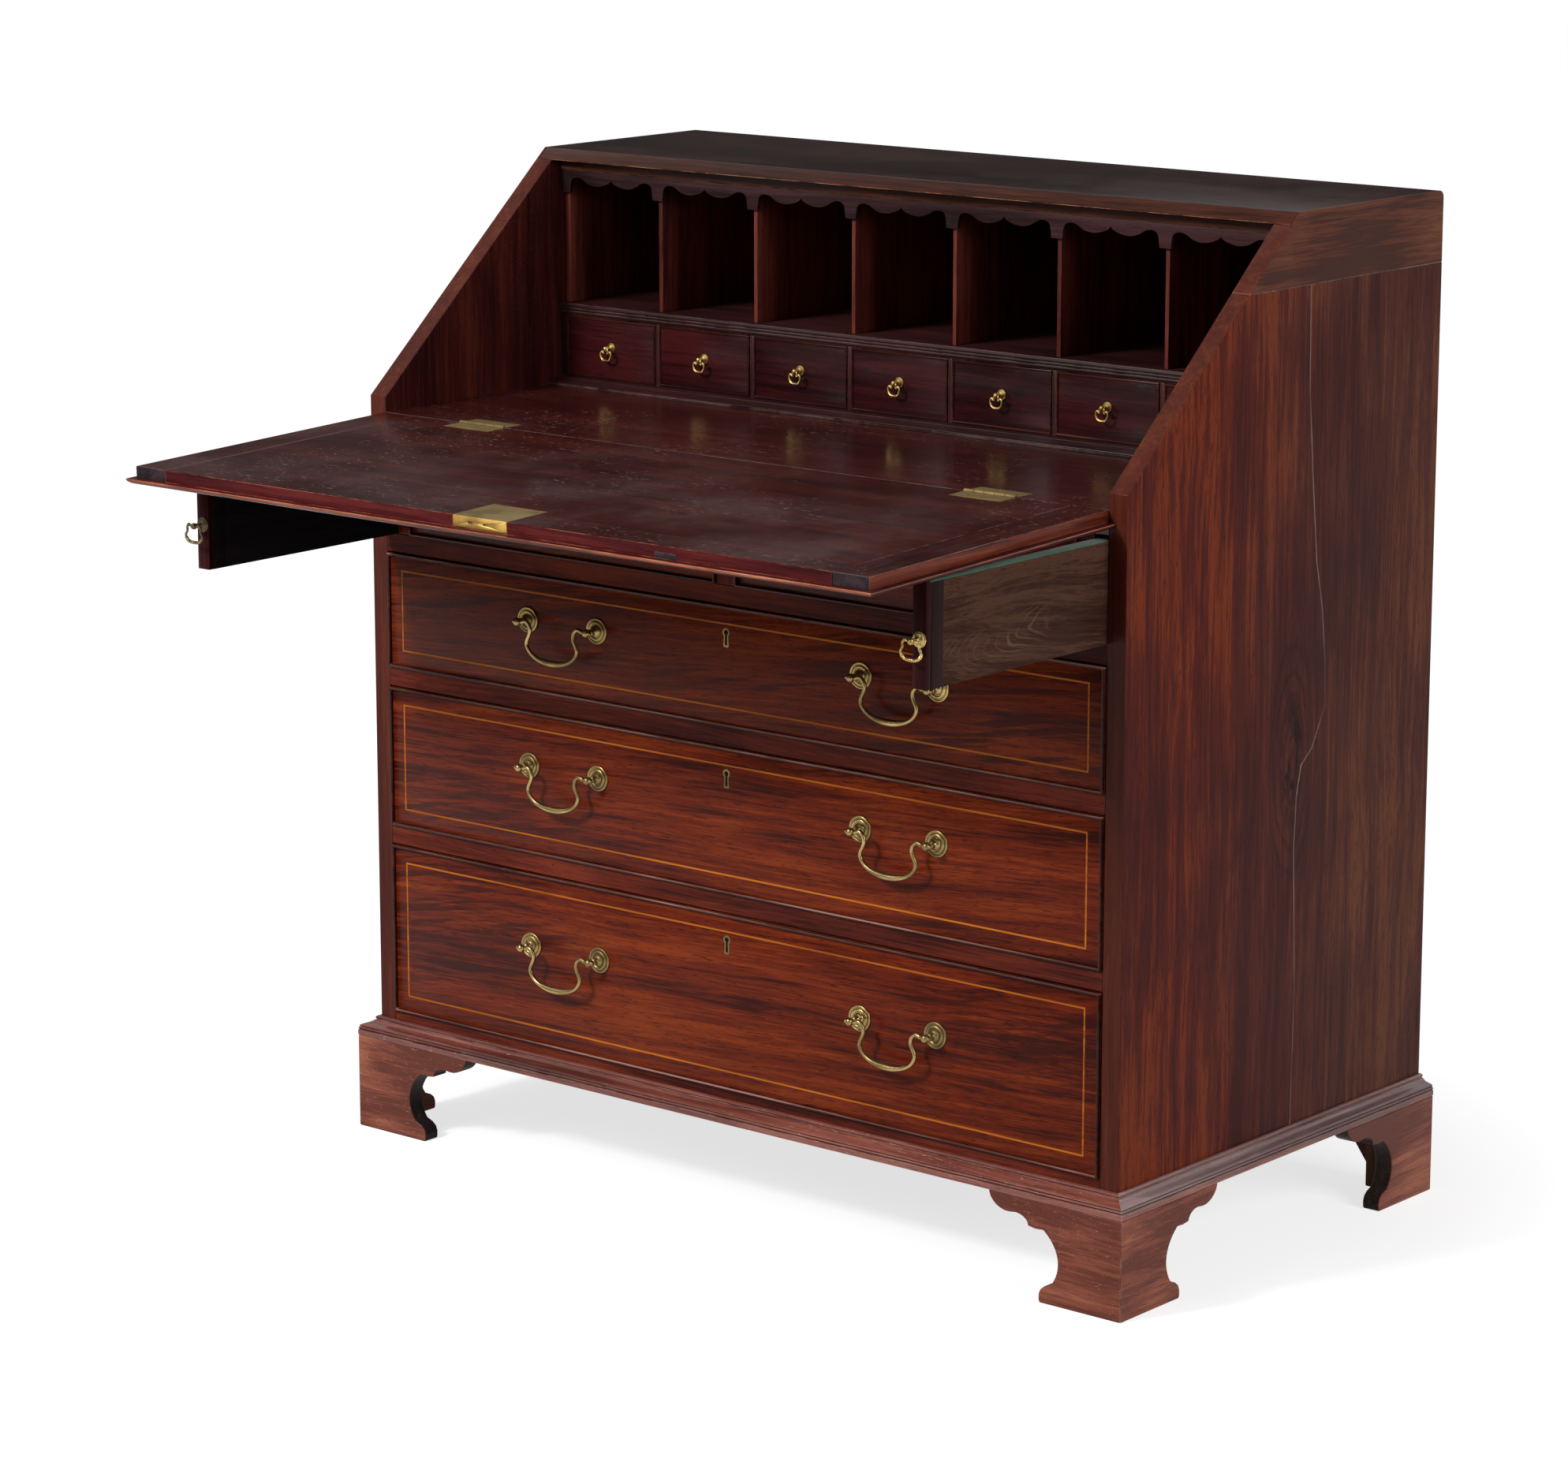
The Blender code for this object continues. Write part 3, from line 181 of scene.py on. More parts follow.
def soften(piece: Piece, width: float, segments: int = 2) -> Piece:
    """Round the sharp edges of a piece by a width and shade it smooth between them."""
    if width:
        limits = {"limit_method": "ANGLE", "angle_limit": SMOOTH_ANGLE, "use_clamp_overlap": True}
        apply(piece, "BEVEL", width=width, segments=segments, **limits)
    choose(piece)
    bpy.ops.object.shade_smooth_by_angle(angle=SMOOTH_ANGLE)
    return piece


def block(name: str, low: Sequence[float], high: Sequence[float], soft: float = ARRIS) -> Piece:
    """Make a board between two opposite corners.

    Args:
        name: The piece's name.
        low: One corner.
        high: The corner opposite.
        soft: How far its edges are rounded.

    Returns:
        The board.
    """
    first, last = Vector(low), Vector(high)
    bpy.ops.mesh.primitive_cube_add(size=1, location=(first + last) / 2)
    piece = bpy.context.object
    piece.name = name
    piece.scale = [abs(side) for side in last - first]
    bake_place(piece)
    return soften(piece, soft)


def board(name: str, outline: Outline, plane: Plane, start: float, end: float, soft: float = ARRIS) -> Piece:
    """Make a board with an outline in one plane, which runs across it.

    Args:
        name: The piece's name.
        outline: The corners of the outline in order.
        plane: The plane that they lie in.
        start: Where the board starts across the plane.
        end: Where it ends.
        soft: How far its edges are rounded.

    Returns:
        The board.
    """
    bpy.ops.mesh.primitive_circle_add(vertices=len(outline), fill_type="NGON")
    piece = bpy.context.object
    piece.name = name
    for vertex, (first, second) in zip(piece.data.vertices, outline):
        vertex.co = plane.spot(first, second, start)
    across = plane.spot(0, 0, end - start)
    with editing(piece):
        bpy.ops.mesh.extrude_region_move(TRANSFORM_OT_translate={"value": across})
        bpy.ops.mesh.select_all(action="SELECT")
        bpy.ops.mesh.normals_make_consistent(inside=False)
    return soften(piece, soft)


def band(
    name: str, outer: Outline, inner: Outline, plane: Plane, start: float, end: float, soft: float
) -> Piece:
    """Make a flat ring between two outlines with as many points each.

    Args:
        name: The piece's name.
        outer: The outside outline.
        inner: The inside outline, point for point.
        plane: The plane that they lie in.
        start: Where the ring starts across the plane.
        end: Where it ends.
        soft: How far its edges are rounded.

    Returns:
        The ring.
    """
    loops = []
    for outline in (outer, inner):
        bpy.ops.mesh.primitive_circle_add(vertices=len(outline), fill_type="NOTHING")
        loop = bpy.context.object
        for vertex, (first, second) in zip(loop.data.vertices, outline):
            vertex.co = plane.spot(first, second, start)
        loops.append(loop)
    piece = joined(name, loops)
    across = plane.spot(0, 0, end - start)
    with editing(piece):
        bpy.ops.mesh.bridge_edge_loops()
        bpy.ops.mesh.select_all(action="SELECT")
        bpy.ops.mesh.extrude_region_move(TRANSFORM_OT_translate={"value": across})
        bpy.ops.mesh.select_all(action="SELECT")
        bpy.ops.mesh.normals_make_consistent(inside=False)
    return soften(piece, soft)


def rectangle(x0: float, z0: float, x1: float, z1: float) -> Outline:
    """The four corners of an upright rectangle."""
    return [(x0, z0), (x1, z0), (x1, z1), (x0, z1)]


def frame_of(name: str, corners: Outline, width: float, start: float, end: float, soft: float) -> Piece:
    """Make a strip of one width inside an upright rectangle, facing forward."""
    (x0, z0), _, (x1, z1), _ = corners
    inside = rectangle(x0 + width, z0 + width, x1 - width, z1 - width)
    return band(name, corners, inside, Plane.FRONT, start, end, soft)


def lathe(name: str, profile: Outline, foot: Vector, axis: Axis, steps: int = 32) -> Piece:
    """Turn a profile about an axis.

    Args:
        name: The piece's name.
        profile: The (radius, reach along the axis) of each point, from the foot on.
        foot: Where the axis starts.
        axis: The way that the piece stands.
        steps: The number of sides.

    Returns:
        The turned piece.
    """
    bpy.ops.mesh.primitive_circle_add(vertices=len(profile), fill_type="NOTHING")
    piece = bpy.context.object
    piece.name = name
    for vertex, (radius, reach) in zip(piece.data.vertices, profile):
        vertex.co = (radius, 0, reach)
    with editing(piece):
        bpy.ops.mesh.spin(steps=steps, angle=math.tau, center=(0, 0, 0), axis=(0, 0, 1))
        bpy.ops.mesh.select_all(action="SELECT")
        bpy.ops.mesh.remove_doubles(threshold=WELD)
        bpy.ops.mesh.normals_make_consistent(inside=False)
    piece.rotation_euler = axis.value
    piece.location = foot
    bake_place(piece)
    return soften(piece, 0)


def rod(name: str, path: Sequence[Vector], radii: Sequence[float], sides: int) -> Piece:
    """Make a bent rod through a path, with its own radius at each point.

    Args:
        name: The piece's name.
        path: The points that its middle line passes.
        radii: The radius at each of them.
        sides: The curve's bevel resolution.

    Returns:
        The rod.
    """
    bpy.ops.curve.primitive_bezier_curve_add()
    piece = bpy.context.object
    piece.name = name
    curve = piece.data
    curve.splines.clear()
    spline = curve.splines.new("BEZIER")
    spline.bezier_points.add(len(path) - 1)
    for knot, spot, radius in zip(spline.bezier_points, path, radii):
        knot.co = spot
        knot.handle_left_type = knot.handle_right_type = "AUTO"
        knot.radius = radius
    curve.dimensions = "3D"
    curve.bevel_depth = 1
    curve.bevel_resolution = sides
    curve.resolution_u = 5
    curve.use_fill_caps = True
    piece.location = (0, 0, 0)
    choose(piece)
    bpy.ops.object.convert(target="MESH")
    piece = bpy.context.object
    with editing(piece):
        bpy.ops.mesh.remove_doubles(threshold=WELD)
        bpy.ops.mesh.normals_make_consistent(inside=False)
    return soften(piece, 0)


def mitre(piece: Piece, spot: Sequence[float], normal: Sequence[float]) -> Piece:
    """Cut a piece along a plane, close the cut and keep what lies behind the normal."""
    with editing(piece):
        bpy.ops.mesh.bisect(plane_co=spot, plane_no=normal, use_fill=True, clear_outer=True)
    return piece


def cut(piece: Piece, *cutters: Piece) -> Piece:
    """Cut other solids out of a piece and use them up."""
    for cutter in cutters:
        apply(piece, "BOOLEAN", operation="DIFFERENCE", solver="EXACT", object=cutter)
        bpy.data.objects.remove(cutter, do_unlink=True)
    return piece


def joined(name: str, pieces: Sequence[Piece]) -> Piece:
    """Join several meshes into one piece."""
    choose(pieces[0])
    for piece in pieces:
        piece.select_set(True)
    if len(pieces) > 1:
        bpy.ops.object.join()
    pieces[0].name = name
    return pieces[0]


def copied(piece: Piece, name: str, shift: Sequence[float]) -> Piece:
    """Copy a piece's shape into a bare mesh of its own, moved by a shift."""
    twin = bpy.data.objects.new(name, piece.data.copy())
    twin.data.materials.clear()
    bpy.context.scene.collection.objects.link(twin)
    twin.data.transform(Matrix.Translation(shift))
    return twin


class Repeats:
    """The pieces that occur more than once: each is modelled the first time, and copied after that."""

    def __init__(self) -> None:
        """Start without any."""
        self.first: dict[str, tuple[Piece, Vector]] = {}

    def place(self, kind: str, name: str, spot: Vector, model: Callable[[Vector], Piece]) -> Piece:
        """Put a piece at a spot.

        Args:
            kind: A word for all the pieces that are alike.
            name: This piece's name.
            spot: Where it goes.
            model: What models the first one at a spot.

        Returns:
            The piece.
        """
        if kind in self.first:
            piece, start = self.first[kind]
            return copied(piece, name, spot - start)
        piece = model(spot)
        piece.name = name
        self.first[kind] = (piece, spot)
        return piece


REPEATS = Repeats()


def paint(piece: Piece, material: Material, chosen: Callable[[Vector, Vector], bool]) -> None:
    """Give the faces that a test chooses by their normal and middle another material."""
    piece.data.materials.append(material)
    number = len(piece.data.materials) - 1
    for face in piece.data.polygons:
        if chosen(face.normal, face.center):
            face.material_index = number


def settle(piece: Piece, body: str, material: Material, slot: str, *nodes: str) -> Piece:
    """Finish a piece: its material, the body that it rides on and the nodes that it stands for.

    Args:
        piece: The piece, in its place.
        body: The body that it rides on.
        material: Its main material.
        slot: The record's material slot, which is not used.
        nodes: The nodes that it replaces.

    Returns:
        The piece.
    """
    piece.data.name = piece.name
    if piece.data.materials:
        piece.data.materials[0] = material
    else:
        piece.data.materials.append(material)
    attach(piece, body)
    if nodes:
        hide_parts(*nodes)
    log.info("%s rides on %s", piece.name, body)
    return piece


def keep(node: str, material: Material, soft: float = ARRIS) -> None:
    """Dress a node whose shape is right: a material, and live modifiers that round its edges."""
    piece = frame["nodes"][node]
    piece.data.materials.clear()
    piece.data.materials.append(material)
    weld = piece.modifiers.new("weld", "WELD")
    weld.merge_threshold = WELD
    bevel = piece.modifiers.new("bevel", "BEVEL")
    bevel.width = soft
    bevel.segments = 2
    bevel.limit_method = "ANGLE"
    bevel.angle_limit = SMOOTH_ANGLE
    log.info("%s keeps its shape", node)


def faces(axis: str, way: int, least: float) -> Callable[[Vector, Vector], bool]:
    """A test for faces that look one way along an axis by at least a share."""
    return lambda normal, spot: way * getattr(normal, axis) > least


# Finishes


LOOKS = ("Stripe", "Wave", "Slope", "Flame", "Cloud", "Pores")


class Wires:
    """Builds a node tree a node at a time."""

    def __init__(self, tree: bpy.types.NodeTree) -> None:
        """Take the tree that the nodes go into."""
        self.tree = tree

    def add(self, kind: str, inputs: dict | None = None, **settings: object) -> Node:
        """Add a node, set its properties, and link or set its inputs.

        Args:
            kind: The node's type without its prefix.
            inputs: A socket or a value for each input, by name or number.
            settings: The node's own properties.

        Returns:
            The node.
        """
        node = self.tree.nodes.new("ShaderNode" + kind)
        for setting, value in settings.items():
            setattr(node, setting, value)
        self.feed(node, inputs or {})
        return node

    def feed(self, node: Node, inputs: dict) -> None:
        """Link or set a node's inputs, by name or number."""
        for name, value in inputs.items():
            if isinstance(value, Socket):
                self.tree.links.new(value, node.inputs[name])
            else:
                node.inputs[name].default_value = value

    def math(self, operation: str, first: object, second: object = 0.0) -> Socket:
        """Combine two numbers."""
        return self.add("Math", {0: first, 1: second}, operation=operation).outputs[0]

    def plus(self, first: object, second: object) -> Socket:
        """Add two numbers."""
        return self.math("ADD", first, second)

    def minus(self, first: object, second: object) -> Socket:
        """Take the second number from the first."""
        return self.math("SUBTRACT", first, second)

    def times(self, first: object, second: object) -> Socket:
        """Multiply two numbers."""
        return self.math("MULTIPLY", first, second)

    def most(self, first: object, second: object) -> Socket:
        """Take the greater of two numbers."""
        return self.math("MAXIMUM", first, second)

    def blend(self, share: object, first: object, second: object, way: str = "MIX") -> Socket:
        """Blend two colours."""
        node = self.add("Mix", {0: share, 6: first, 7: second}, data_type="RGBA", blend_type=way)
        return node.outputs[2]

    def spread(
        self, value: object, low: float, high: float, to_low: object = 0.0, to_high: object = 1.0
    ) -> Socket:
        """Map a stretch of values to another, smoothly at its ends."""
        inputs = {"Value": value, "From Min": low, "From Max": high, "To Min": to_low, "To Max": to_high}
        return self.add("MapRange", inputs, interpolation_type="SMOOTHSTEP").outputs[0]

    def stretched(self, vector: object, stretch: Sequence[float]) -> Socket:
        """Multiply a vector by a stretch for each axis."""
        return self.add("VectorMath", {0: vector, 1: stretch}, operation="MULTIPLY").outputs[0]

    def turned(self, vector: object, angle: float, axis: str) -> Socket:
        """Turn a vector about an axis."""
        return self.add("VectorRotate", {"Vector": vector, "Angle": angle}, rotation_type=axis).outputs[0]

    def noise(self, vector: object, scale: float, detail: float, rough: float = 0.55) -> Node:
        """Add a noise texture."""
        return self.add("TexNoise", {"Vector": vector, "Scale": scale, "Detail": detail, "Roughness": rough})

    def mottle(self, vector: object, scale: float, detail: float, rough: float = 0.55) -> Socket:
        """Make even noise."""
        return self.noise(vector, scale, detail, rough).outputs[0]

    def streaks(self, vector: object, stretch: Sequence[float], detail: float, rough: float = 0.55) -> Socket:
        """Make noise that is drawn out by a stretch for each axis."""
        return self.mottle(self.stretched(vector, stretch), 1.0, detail, rough)


def new_group(name: str, inputs: dict[str, str], outputs: dict[str, str]) -> tuple[Wires, Node, Node]:
    """Start a shader node group.

    Args:
        name: The group's name.
        inputs: The socket kind of each input, such as Float, Color or Vector.
        outputs: The socket kind of each output.

    Returns:
        The wires of its tree, its input node and its output node.
    """
    tree = bpy.data.node_groups.new(name, "ShaderNodeTree")
    for socket, kind in inputs.items():
        tree.interface.new_socket(socket, in_out="INPUT", socket_type="NodeSocket" + kind)
    for socket, kind in outputs.items():
        tree.interface.new_socket(socket, in_out="OUTPUT", socket_type="NodeSocket" + kind)
    return Wires(tree), tree.nodes.new("NodeGroupInput"), tree.nodes.new("NodeGroupOutput")


def wood_figure() -> bpy.types.NodeTree:
    """Build the group that draws wood: stripes, figure and pores, with the grain along X."""
    inputs = {"Vector": "Vector", "Dark": "Color", "Middle": "Color", "Light": "Color"}
    inputs |= dict.fromkeys(LOOKS, "Float")
    wires, given, made = new_group("wood_figure", inputs, {"Color": "Color", "Height": "Float"})
    start = given.outputs
    bend = wires.noise(wires.stretched(start["Vector"], (1.0, 3.2, 3.2)), 1.5, 2.0)
    centred = wires.add("VectorMath", {0: bend.outputs["Color"], 1: (0.5, 0.5, 0.5)}, operation="SUBTRACT")
    swing = wires.add("VectorMath", {0: centred.outputs[0], "Scale": start["Wave"]}, operation="SCALE")
    parts = wires.add("SeparateXYZ", {0: start["Vector"]}).outputs
    sloped = wires.plus(parts["Z"], wires.times(parts["X"], start["Slope"]))
    lie = wires.add("CombineXYZ", {"X": parts["X"], "Y": parts["Y"], "Z": sloped})
    path = wires.add("VectorMath", {0: lie.outputs[0], 1: swing.outputs[0]}, operation="ADD").outputs[0]
    broad = wires.streaks(path, (0.9, 17.0, 17.0), 4.0, 0.6)
    band = wires.streaks(path, (2.6, 54.0, 54.0), 4.0, 0.6)
    streak = wires.streaks(path, (6.0, 190.0, 190.0), 4.0, 0.65)
    thread = wires.streaks(path, (18.0, 700.0, 700.0), 2.0, 0.5)
    cloud = wires.mottle(wires.stretched(start["Vector"], (1.0, 1.9, 1.9)), 3.2, 3.0)
    lines = wires.plus(wires.times(broad, 0.28), wires.times(band, 0.34))
    lines = wires.plus(lines, wires.times(streak, 0.38))
    tone = wires.plus(lines, wires.times(wires.minus(cloud, 0.5), start["Cloud"]))
    tone = wires.plus(tone, wires.times(wires.minus(thread, 0.5), 0.22))
    pale = wires.spread(tone, 0.48, 0.61)
    deep = wires.spread(tone, 0.495, 0.385, 0.0, start["Stripe"])
    ribbon = wires.streaks(wires.turned(path, 0.10, "Y_AXIS"), (7.0, 125.0, 125.0), 3.0, 0.6)
    place = wires.streaks(path, (1.8, 8.0, 8.0), 2.0)
    ribbons = wires.times(wires.spread(ribbon, 0.51, 0.60), wires.spread(place, 0.42, 0.58))
    ribbons = wires.times(ribbons, start["Flame"])
    colour = wires.blend(pale, start["Middle"], start["Light"])
    colour = wires.blend(wires.most(deep, ribbons), colour, start["Dark"])
    pore = wires.streaks(path, (60.0, 1000.0, 1000.0), 1.0)
    open_pore = wires.times(wires.spread(pore, 0.60, 0.68), start["Pores"])
    colour = wires.blend(open_pore, colour, start["Dark"])
    height = wires.minus(wires.times(thread, 0.35), open_pore)
    wires.feed(made, {"Color": colour, "Height": height})
    return wires.tree


def edge_wear() -> bpy.types.NodeTree:
    """Build the group that masks arrises: high where the surface turns sharply, broken up by noise."""
    wires, given, made = new_group("edge_wear", {"Vector": "Vector", "Reach": "Float"}, {"Mask": "Float"})
    soft = wires.add("Bevel", {"Radius": 0.0014}, samples=6)
    hard = wires.add("NewGeometry")
    turn = wires.add("VectorMath", {0: soft.outputs[0], 1: hard.outputs["Normal"]}, operation="DOT_PRODUCT")
    bent = wires.spread(turn.outputs["Value"], 0.985, 0.86)
    patch = wires.mottle(given.outputs["Vector"], 26.0, 4.0, 0.7)
    kept = wires.spread(patch, 0.62, 0.40)
    worn = wires.times(wires.times(bent, kept), given.outputs["Reach"])
    wires.feed(made, {"Mask": worn})
    return wires.tree


def old_surface() -> bpy.types.NodeTree:
    """Build the group for age: small dents, fine scratches and cloudy polish."""
    outputs = {"Dents": "Float", "Scratches": "Float", "Cloud": "Float"}
    wires, given, made = new_group("old_surface", {"Vector": "Vector"}, outputs)
    vector = given.outputs["Vector"]
    cells = wires.add("TexVoronoi", {"Vector": vector, "Scale": 42.0, "Randomness": 1.0})
    rare = wires.mottle(vector, 9.0, 2.0)
    dents = wires.times(wires.spread(cells.outputs["Distance"], 0.09, 0.03), wires.spread(rare, 0.56, 0.66))
    dashes = []
    for angle, stretch in ((0.12, (75.0, 560.0, 560.0)), (-0.3, (110.0, 620.0, 620.0))):
        turned = wires.turned(vector, angle, "Z_AXIS")
        dashes.append(wires.spread(wires.streaks(turned, stretch, 1.0), 0.70, 0.76))
    worked = wires.mottle(vector, 5.0, 2.0)
    lines = wires.times(wires.most(*dashes), wires.spread(worked, 0.42, 0.56))
    cloud = wires.mottle(vector, 6.0, 5.0, 0.65)
    wires.feed(made, {"Dents": dents, "Scratches": lines, "Cloud": cloud})
    return wires.tree


def knot_pull() -> bpy.types.NodeTree:
    """Build the group that draws the grain aside round a knot and masks the knot's dark eye."""
    inputs = {"Vector": "Vector", "Spot": "Vector", "Pull": "Float"}
    wires, given, made = new_group("knot_pull", inputs, {"Vector": "Vector", "Mask": "Float"})
    start = given.outputs
    away = wires.add("VectorMath", {0: start["Vector"], 1: start["Spot"]}, operation="SUBTRACT").outputs[0]
    parts = wires.add("SeparateXYZ", {0: away}).outputs
    across = wires.math("POWER", wires.math("ABSOLUTE", wires.math("DIVIDE", parts["Y"], 0.034)), 2.0)
    along = wires.math("POWER", wires.math("ABSOLUTE", wires.math("DIVIDE", parts["Z"], 0.105)), 2.0)
    near = wires.math("EXPONENT", wires.times(wires.plus(across, along), -1.0))
    shrink = wires.times(wires.times(near, start["Pull"]), parts["Y"])
    shift = wires.add("CombineXYZ", {"Y": shrink}).outputs[0]
    moved = wires.add("VectorMath", {0: start["Vector"], 1: shift}, operation="SUBTRACT").outputs[0]
    rough = wires.streaks(start["Vector"], (60.0, 60.0, 22.0), 4.0, 0.7)
    ring = wires.math("SINE", wires.times(wires.plus(near, wires.times(rough, 0.25)), 34.0))
    rings = wires.times(wires.spread(ring, 0.2, 1.0, 0.0, 0.45), wires.spread(near, 0.06, 0.4))
    eye = wires.times(wires.spread(near, 0.45, 0.95), wires.spread(rough, 0.44, 0.56))
    eye = wires.most(eye, rings)
    wires.feed(made, {"Vector": moved, "Mask": eye})
    return wires.tree


def plain_sawn_arches() -> bpy.types.NodeTree:
    """Build the group that masks the pale nested arches on the side of a loper, with the grain along Y."""
    wires, given, made = new_group("plain_sawn_arches", {"Vector": "Vector"}, {"Mask": "Float"})
    bent = wires.streaks(given.outputs["Vector"], (1.0, 6.0, 14.0), 3.0)
    parts = wires.add("SeparateXYZ", {0: given.outputs["Vector"]}).outputs
    rise = wires.minus(parts["Z"], 0.662)
    rise = wires.plus(rise, wires.times(wires.plus(parts["Y"], 0.55), -0.12))
    bowed = wires.times(wires.math("POWER", wires.math("ABSOLUTE", rise), 2.0), 75.0)
    run = wires.minus(wires.plus(parts["Y"], wires.times(bent, 0.09)), bowed)
    ring = wires.math("SINE", wires.times(run, 430.0))
    line = wires.spread(ring, 0.55, 1.0)
    inside = wires.spread(wires.math("ABSOLUTE", rise), 0.030, 0.010)
    faded = wires.mottle(given.outputs["Vector"], 22.0, 2.0)
    near_end = wires.spread(parts["Y"], -0.16, -0.23)
    mask = wires.times(wires.times(line, inside), wires.spread(faded, 0.38, 0.62))
    mask = wires.times(mask, near_end)
    wires.feed(made, {"Mask": mask})
    return wires.tree


class Groups:
    """The node groups that the finishes share, each built once."""

    def __init__(self) -> None:
        """Build the groups."""
        self.wood = wood_figure()
        self.wear = edge_wear()
        self.age = old_surface()
        self.knot = knot_pull()
        self.arches = plain_sawn_arches()


GROUPS = Groups()


def new_material(name: str) -> tuple[Material, Wires, Node, Socket]:
    """Start a material and return it with its wires, its shader and the place on the object."""
    material = bpy.data.materials.new(name)
    material.use_nodes = True
    wires = Wires(material.node_tree)
    shader = material.node_tree.nodes["Principled BSDF"]
    return material, wires, shader, wires.add("TexCoord").outputs["Object"]


@dataclass(frozen=True)
class Wood:
    """A wood finish: three tones from dark to light, the look of its worn arrises, and its polish."""

    name: str
    dark: Colour
    middle: Colour
    light: Colour
    worn: Colour
    stripe: float = 0.9
    wave: float = 0.030
    slope: float = 0.0
    flame: float = 0.0
    cloud: float = 0.45
    pores: float = 0.45
    wear: float = 0.6
    rough: float = 0.34
    specular: float = 0.08
    relief: float = 0.10
    scratches: float = 0.0
    knot: float = 0.0
    knot_spot: tuple[float, float, float] = (0.0, 0.0, 0.0)
    arches: float = 0.0
    rear: tuple[Colour, ...] = ()

    def tones(self, wires: Wires, place: Socket) -> dict[str, object]:
        """The three tones as inputs of the figure, drifting to the rear ones towards the back."""
        own = {"Dark": (*self.dark, 1), "Middle": (*self.middle, 1), "Light": (*self.light, 1)}
        if not self.rear:
            return own
        drift = wires.mottle(wires.stretched(place, (1.0, 1.0, 0.4)), 5.0, 2.0)
        along = wires.plus(wires.add("SeparateXYZ", {0: place}).outputs["Y"], wires.times(drift, 0.2))
        share = wires.spread(along, 0.10, 0.42)
        pairs = zip(own.items(), self.rear)
        return {word: wires.blend(share, near, (*far, 1)) for (word, near), far in pairs}

    def figure(self, wires: Wires, place: Socket, grain: Grain, shift: float) -> tuple:
        """Draw the grain and return its colour and its height."""
        pulled, eye = place, None
        if self.knot:
            inputs = {"Vector": place, "Spot": self.knot_spot, "Pull": self.knot}
            knot = wires.add("Group", inputs, node_tree=GROUPS.knot).outputs
            pulled, eye = knot["Vector"], knot["Mask"]
        moved = (shift, shift * 0.71, shift * 1.37)
        lie = wires.add("Mapping", {"Vector": pulled, "Rotation": grain.value, "Location": moved}).outputs[0]
        inputs = {"Vector": lie, **self.tones(wires, place)}
        inputs |= {look: getattr(self, look.lower()) for look in LOOKS}
        figure = wires.add("Group", inputs, node_tree=GROUPS.wood).outputs
        colour = figure["Color"]
        if eye:
            heart = tuple(0.35 * tone for tone in self.dark)
            colour = wires.blend(wires.times(eye, 0.95), colour, (*heart, 1))
        return colour, figure["Height"]

    def material(self, grain: Grain, shift: float = 0.0) -> Material:
        """Make the finish for one run of the grain.

        Args:
            grain: The way that the grain runs.
            shift: A distance that picks another stretch of the wood.

        Returns:
            The material, made once for each grain and shift.
        """
        name = f"{self.name}_{grain.name.lower()}_{round(shift * 1000)}"
        if name in bpy.data.materials:
            return bpy.data.materials[name]
        material, wires, shader, place = new_material(name)
        colour, height = self.figure(wires, place, grain, shift)
        wear = {"Vector": place, "Reach": self.wear}
        bare = wires.add("Group", wear, node_tree=GROUPS.wear).outputs["Mask"]
        age = wires.add("Group", {"Vector": place}, node_tree=GROUPS.age).outputs
        worn = (*self.worn, 1)
        if self.arches:
            arch = wires.add("Group", {"Vector": place}, node_tree=GROUPS.arches).outputs["Mask"]
            colour = wires.blend(wires.times(arch, self.arches), colour, worn)
        colour = wires.blend(bare, colour, worn)
        colour = wires.blend(wires.times(age["Dents"], 0.55), colour, (*self.dark, 1))
        colour = wires.blend(wires.times(age["Scratches"], self.scratches), colour, worn)
        rough = wires.spread(age["Cloud"], 0.3, 0.7, self.rough - 0.06, self.rough + 0.08)
        height = wires.minus(height, age["Dents"])
        bump = wires.add("Bump", {"Strength": self.relief, "Distance": 0.0006, "Height": height}).outputs[0]
        rough = wires.plus(rough, wires.times(bare, 0.15))
        wires.feed(shader, {"Base Color": colour, "Roughness": rough, "Normal": bump})
        wires.feed(shader, {"Specular IOR Level": self.specular})
        return material


@dataclass(frozen=True)
class Brass:
    """An aged brass: bright where it is rubbed, olive brown where it is tarnished."""

    name: str
    bright: Colour
    tarnish: Colour
    rough: float = 0.30

    def material(self) -> Material:
        """Make the finish once."""
        if self.name in bpy.data.materials:
            return bpy.data.materials[self.name]
        material, wires, shader, place = new_material(self.name)
        speck = wires.mottle(place, 520.0, 2.0, 0.5)
        bare = wires.add("Group", {"Vector": place, "Reach": 0.8}, node_tree=GROUPS.wear).outputs["Mask"]
        dull = wires.spread(wires.mottle(place, 34.0, 2.0, 0.5), 0.30, 0.72, 0.1, 0.9)
        dull = wires.minus(wires.most(dull, wires.spread(speck, 0.68, 0.84, 0.0, 0.7)), bare)
        dull = wires.add("Clamp", {"Value": dull}).outputs[0]
        colour = wires.blend(dull, (*self.bright, 1), (*self.tarnish, 1))
        rough = wires.spread(dull, 0.0, 1.0, self.rough, self.rough + 0.22)
        metal = wires.spread(dull, 0.0, 1.0, 1.0, 0.86)
        bump = wires.add("Bump", {"Strength": 0.03, "Distance": 0.0001, "Height": speck}).outputs[0]
        wires.feed(shader, {"Base Color": colour, "Roughness": rough, "Metallic": metal, "Normal": bump})
        return material


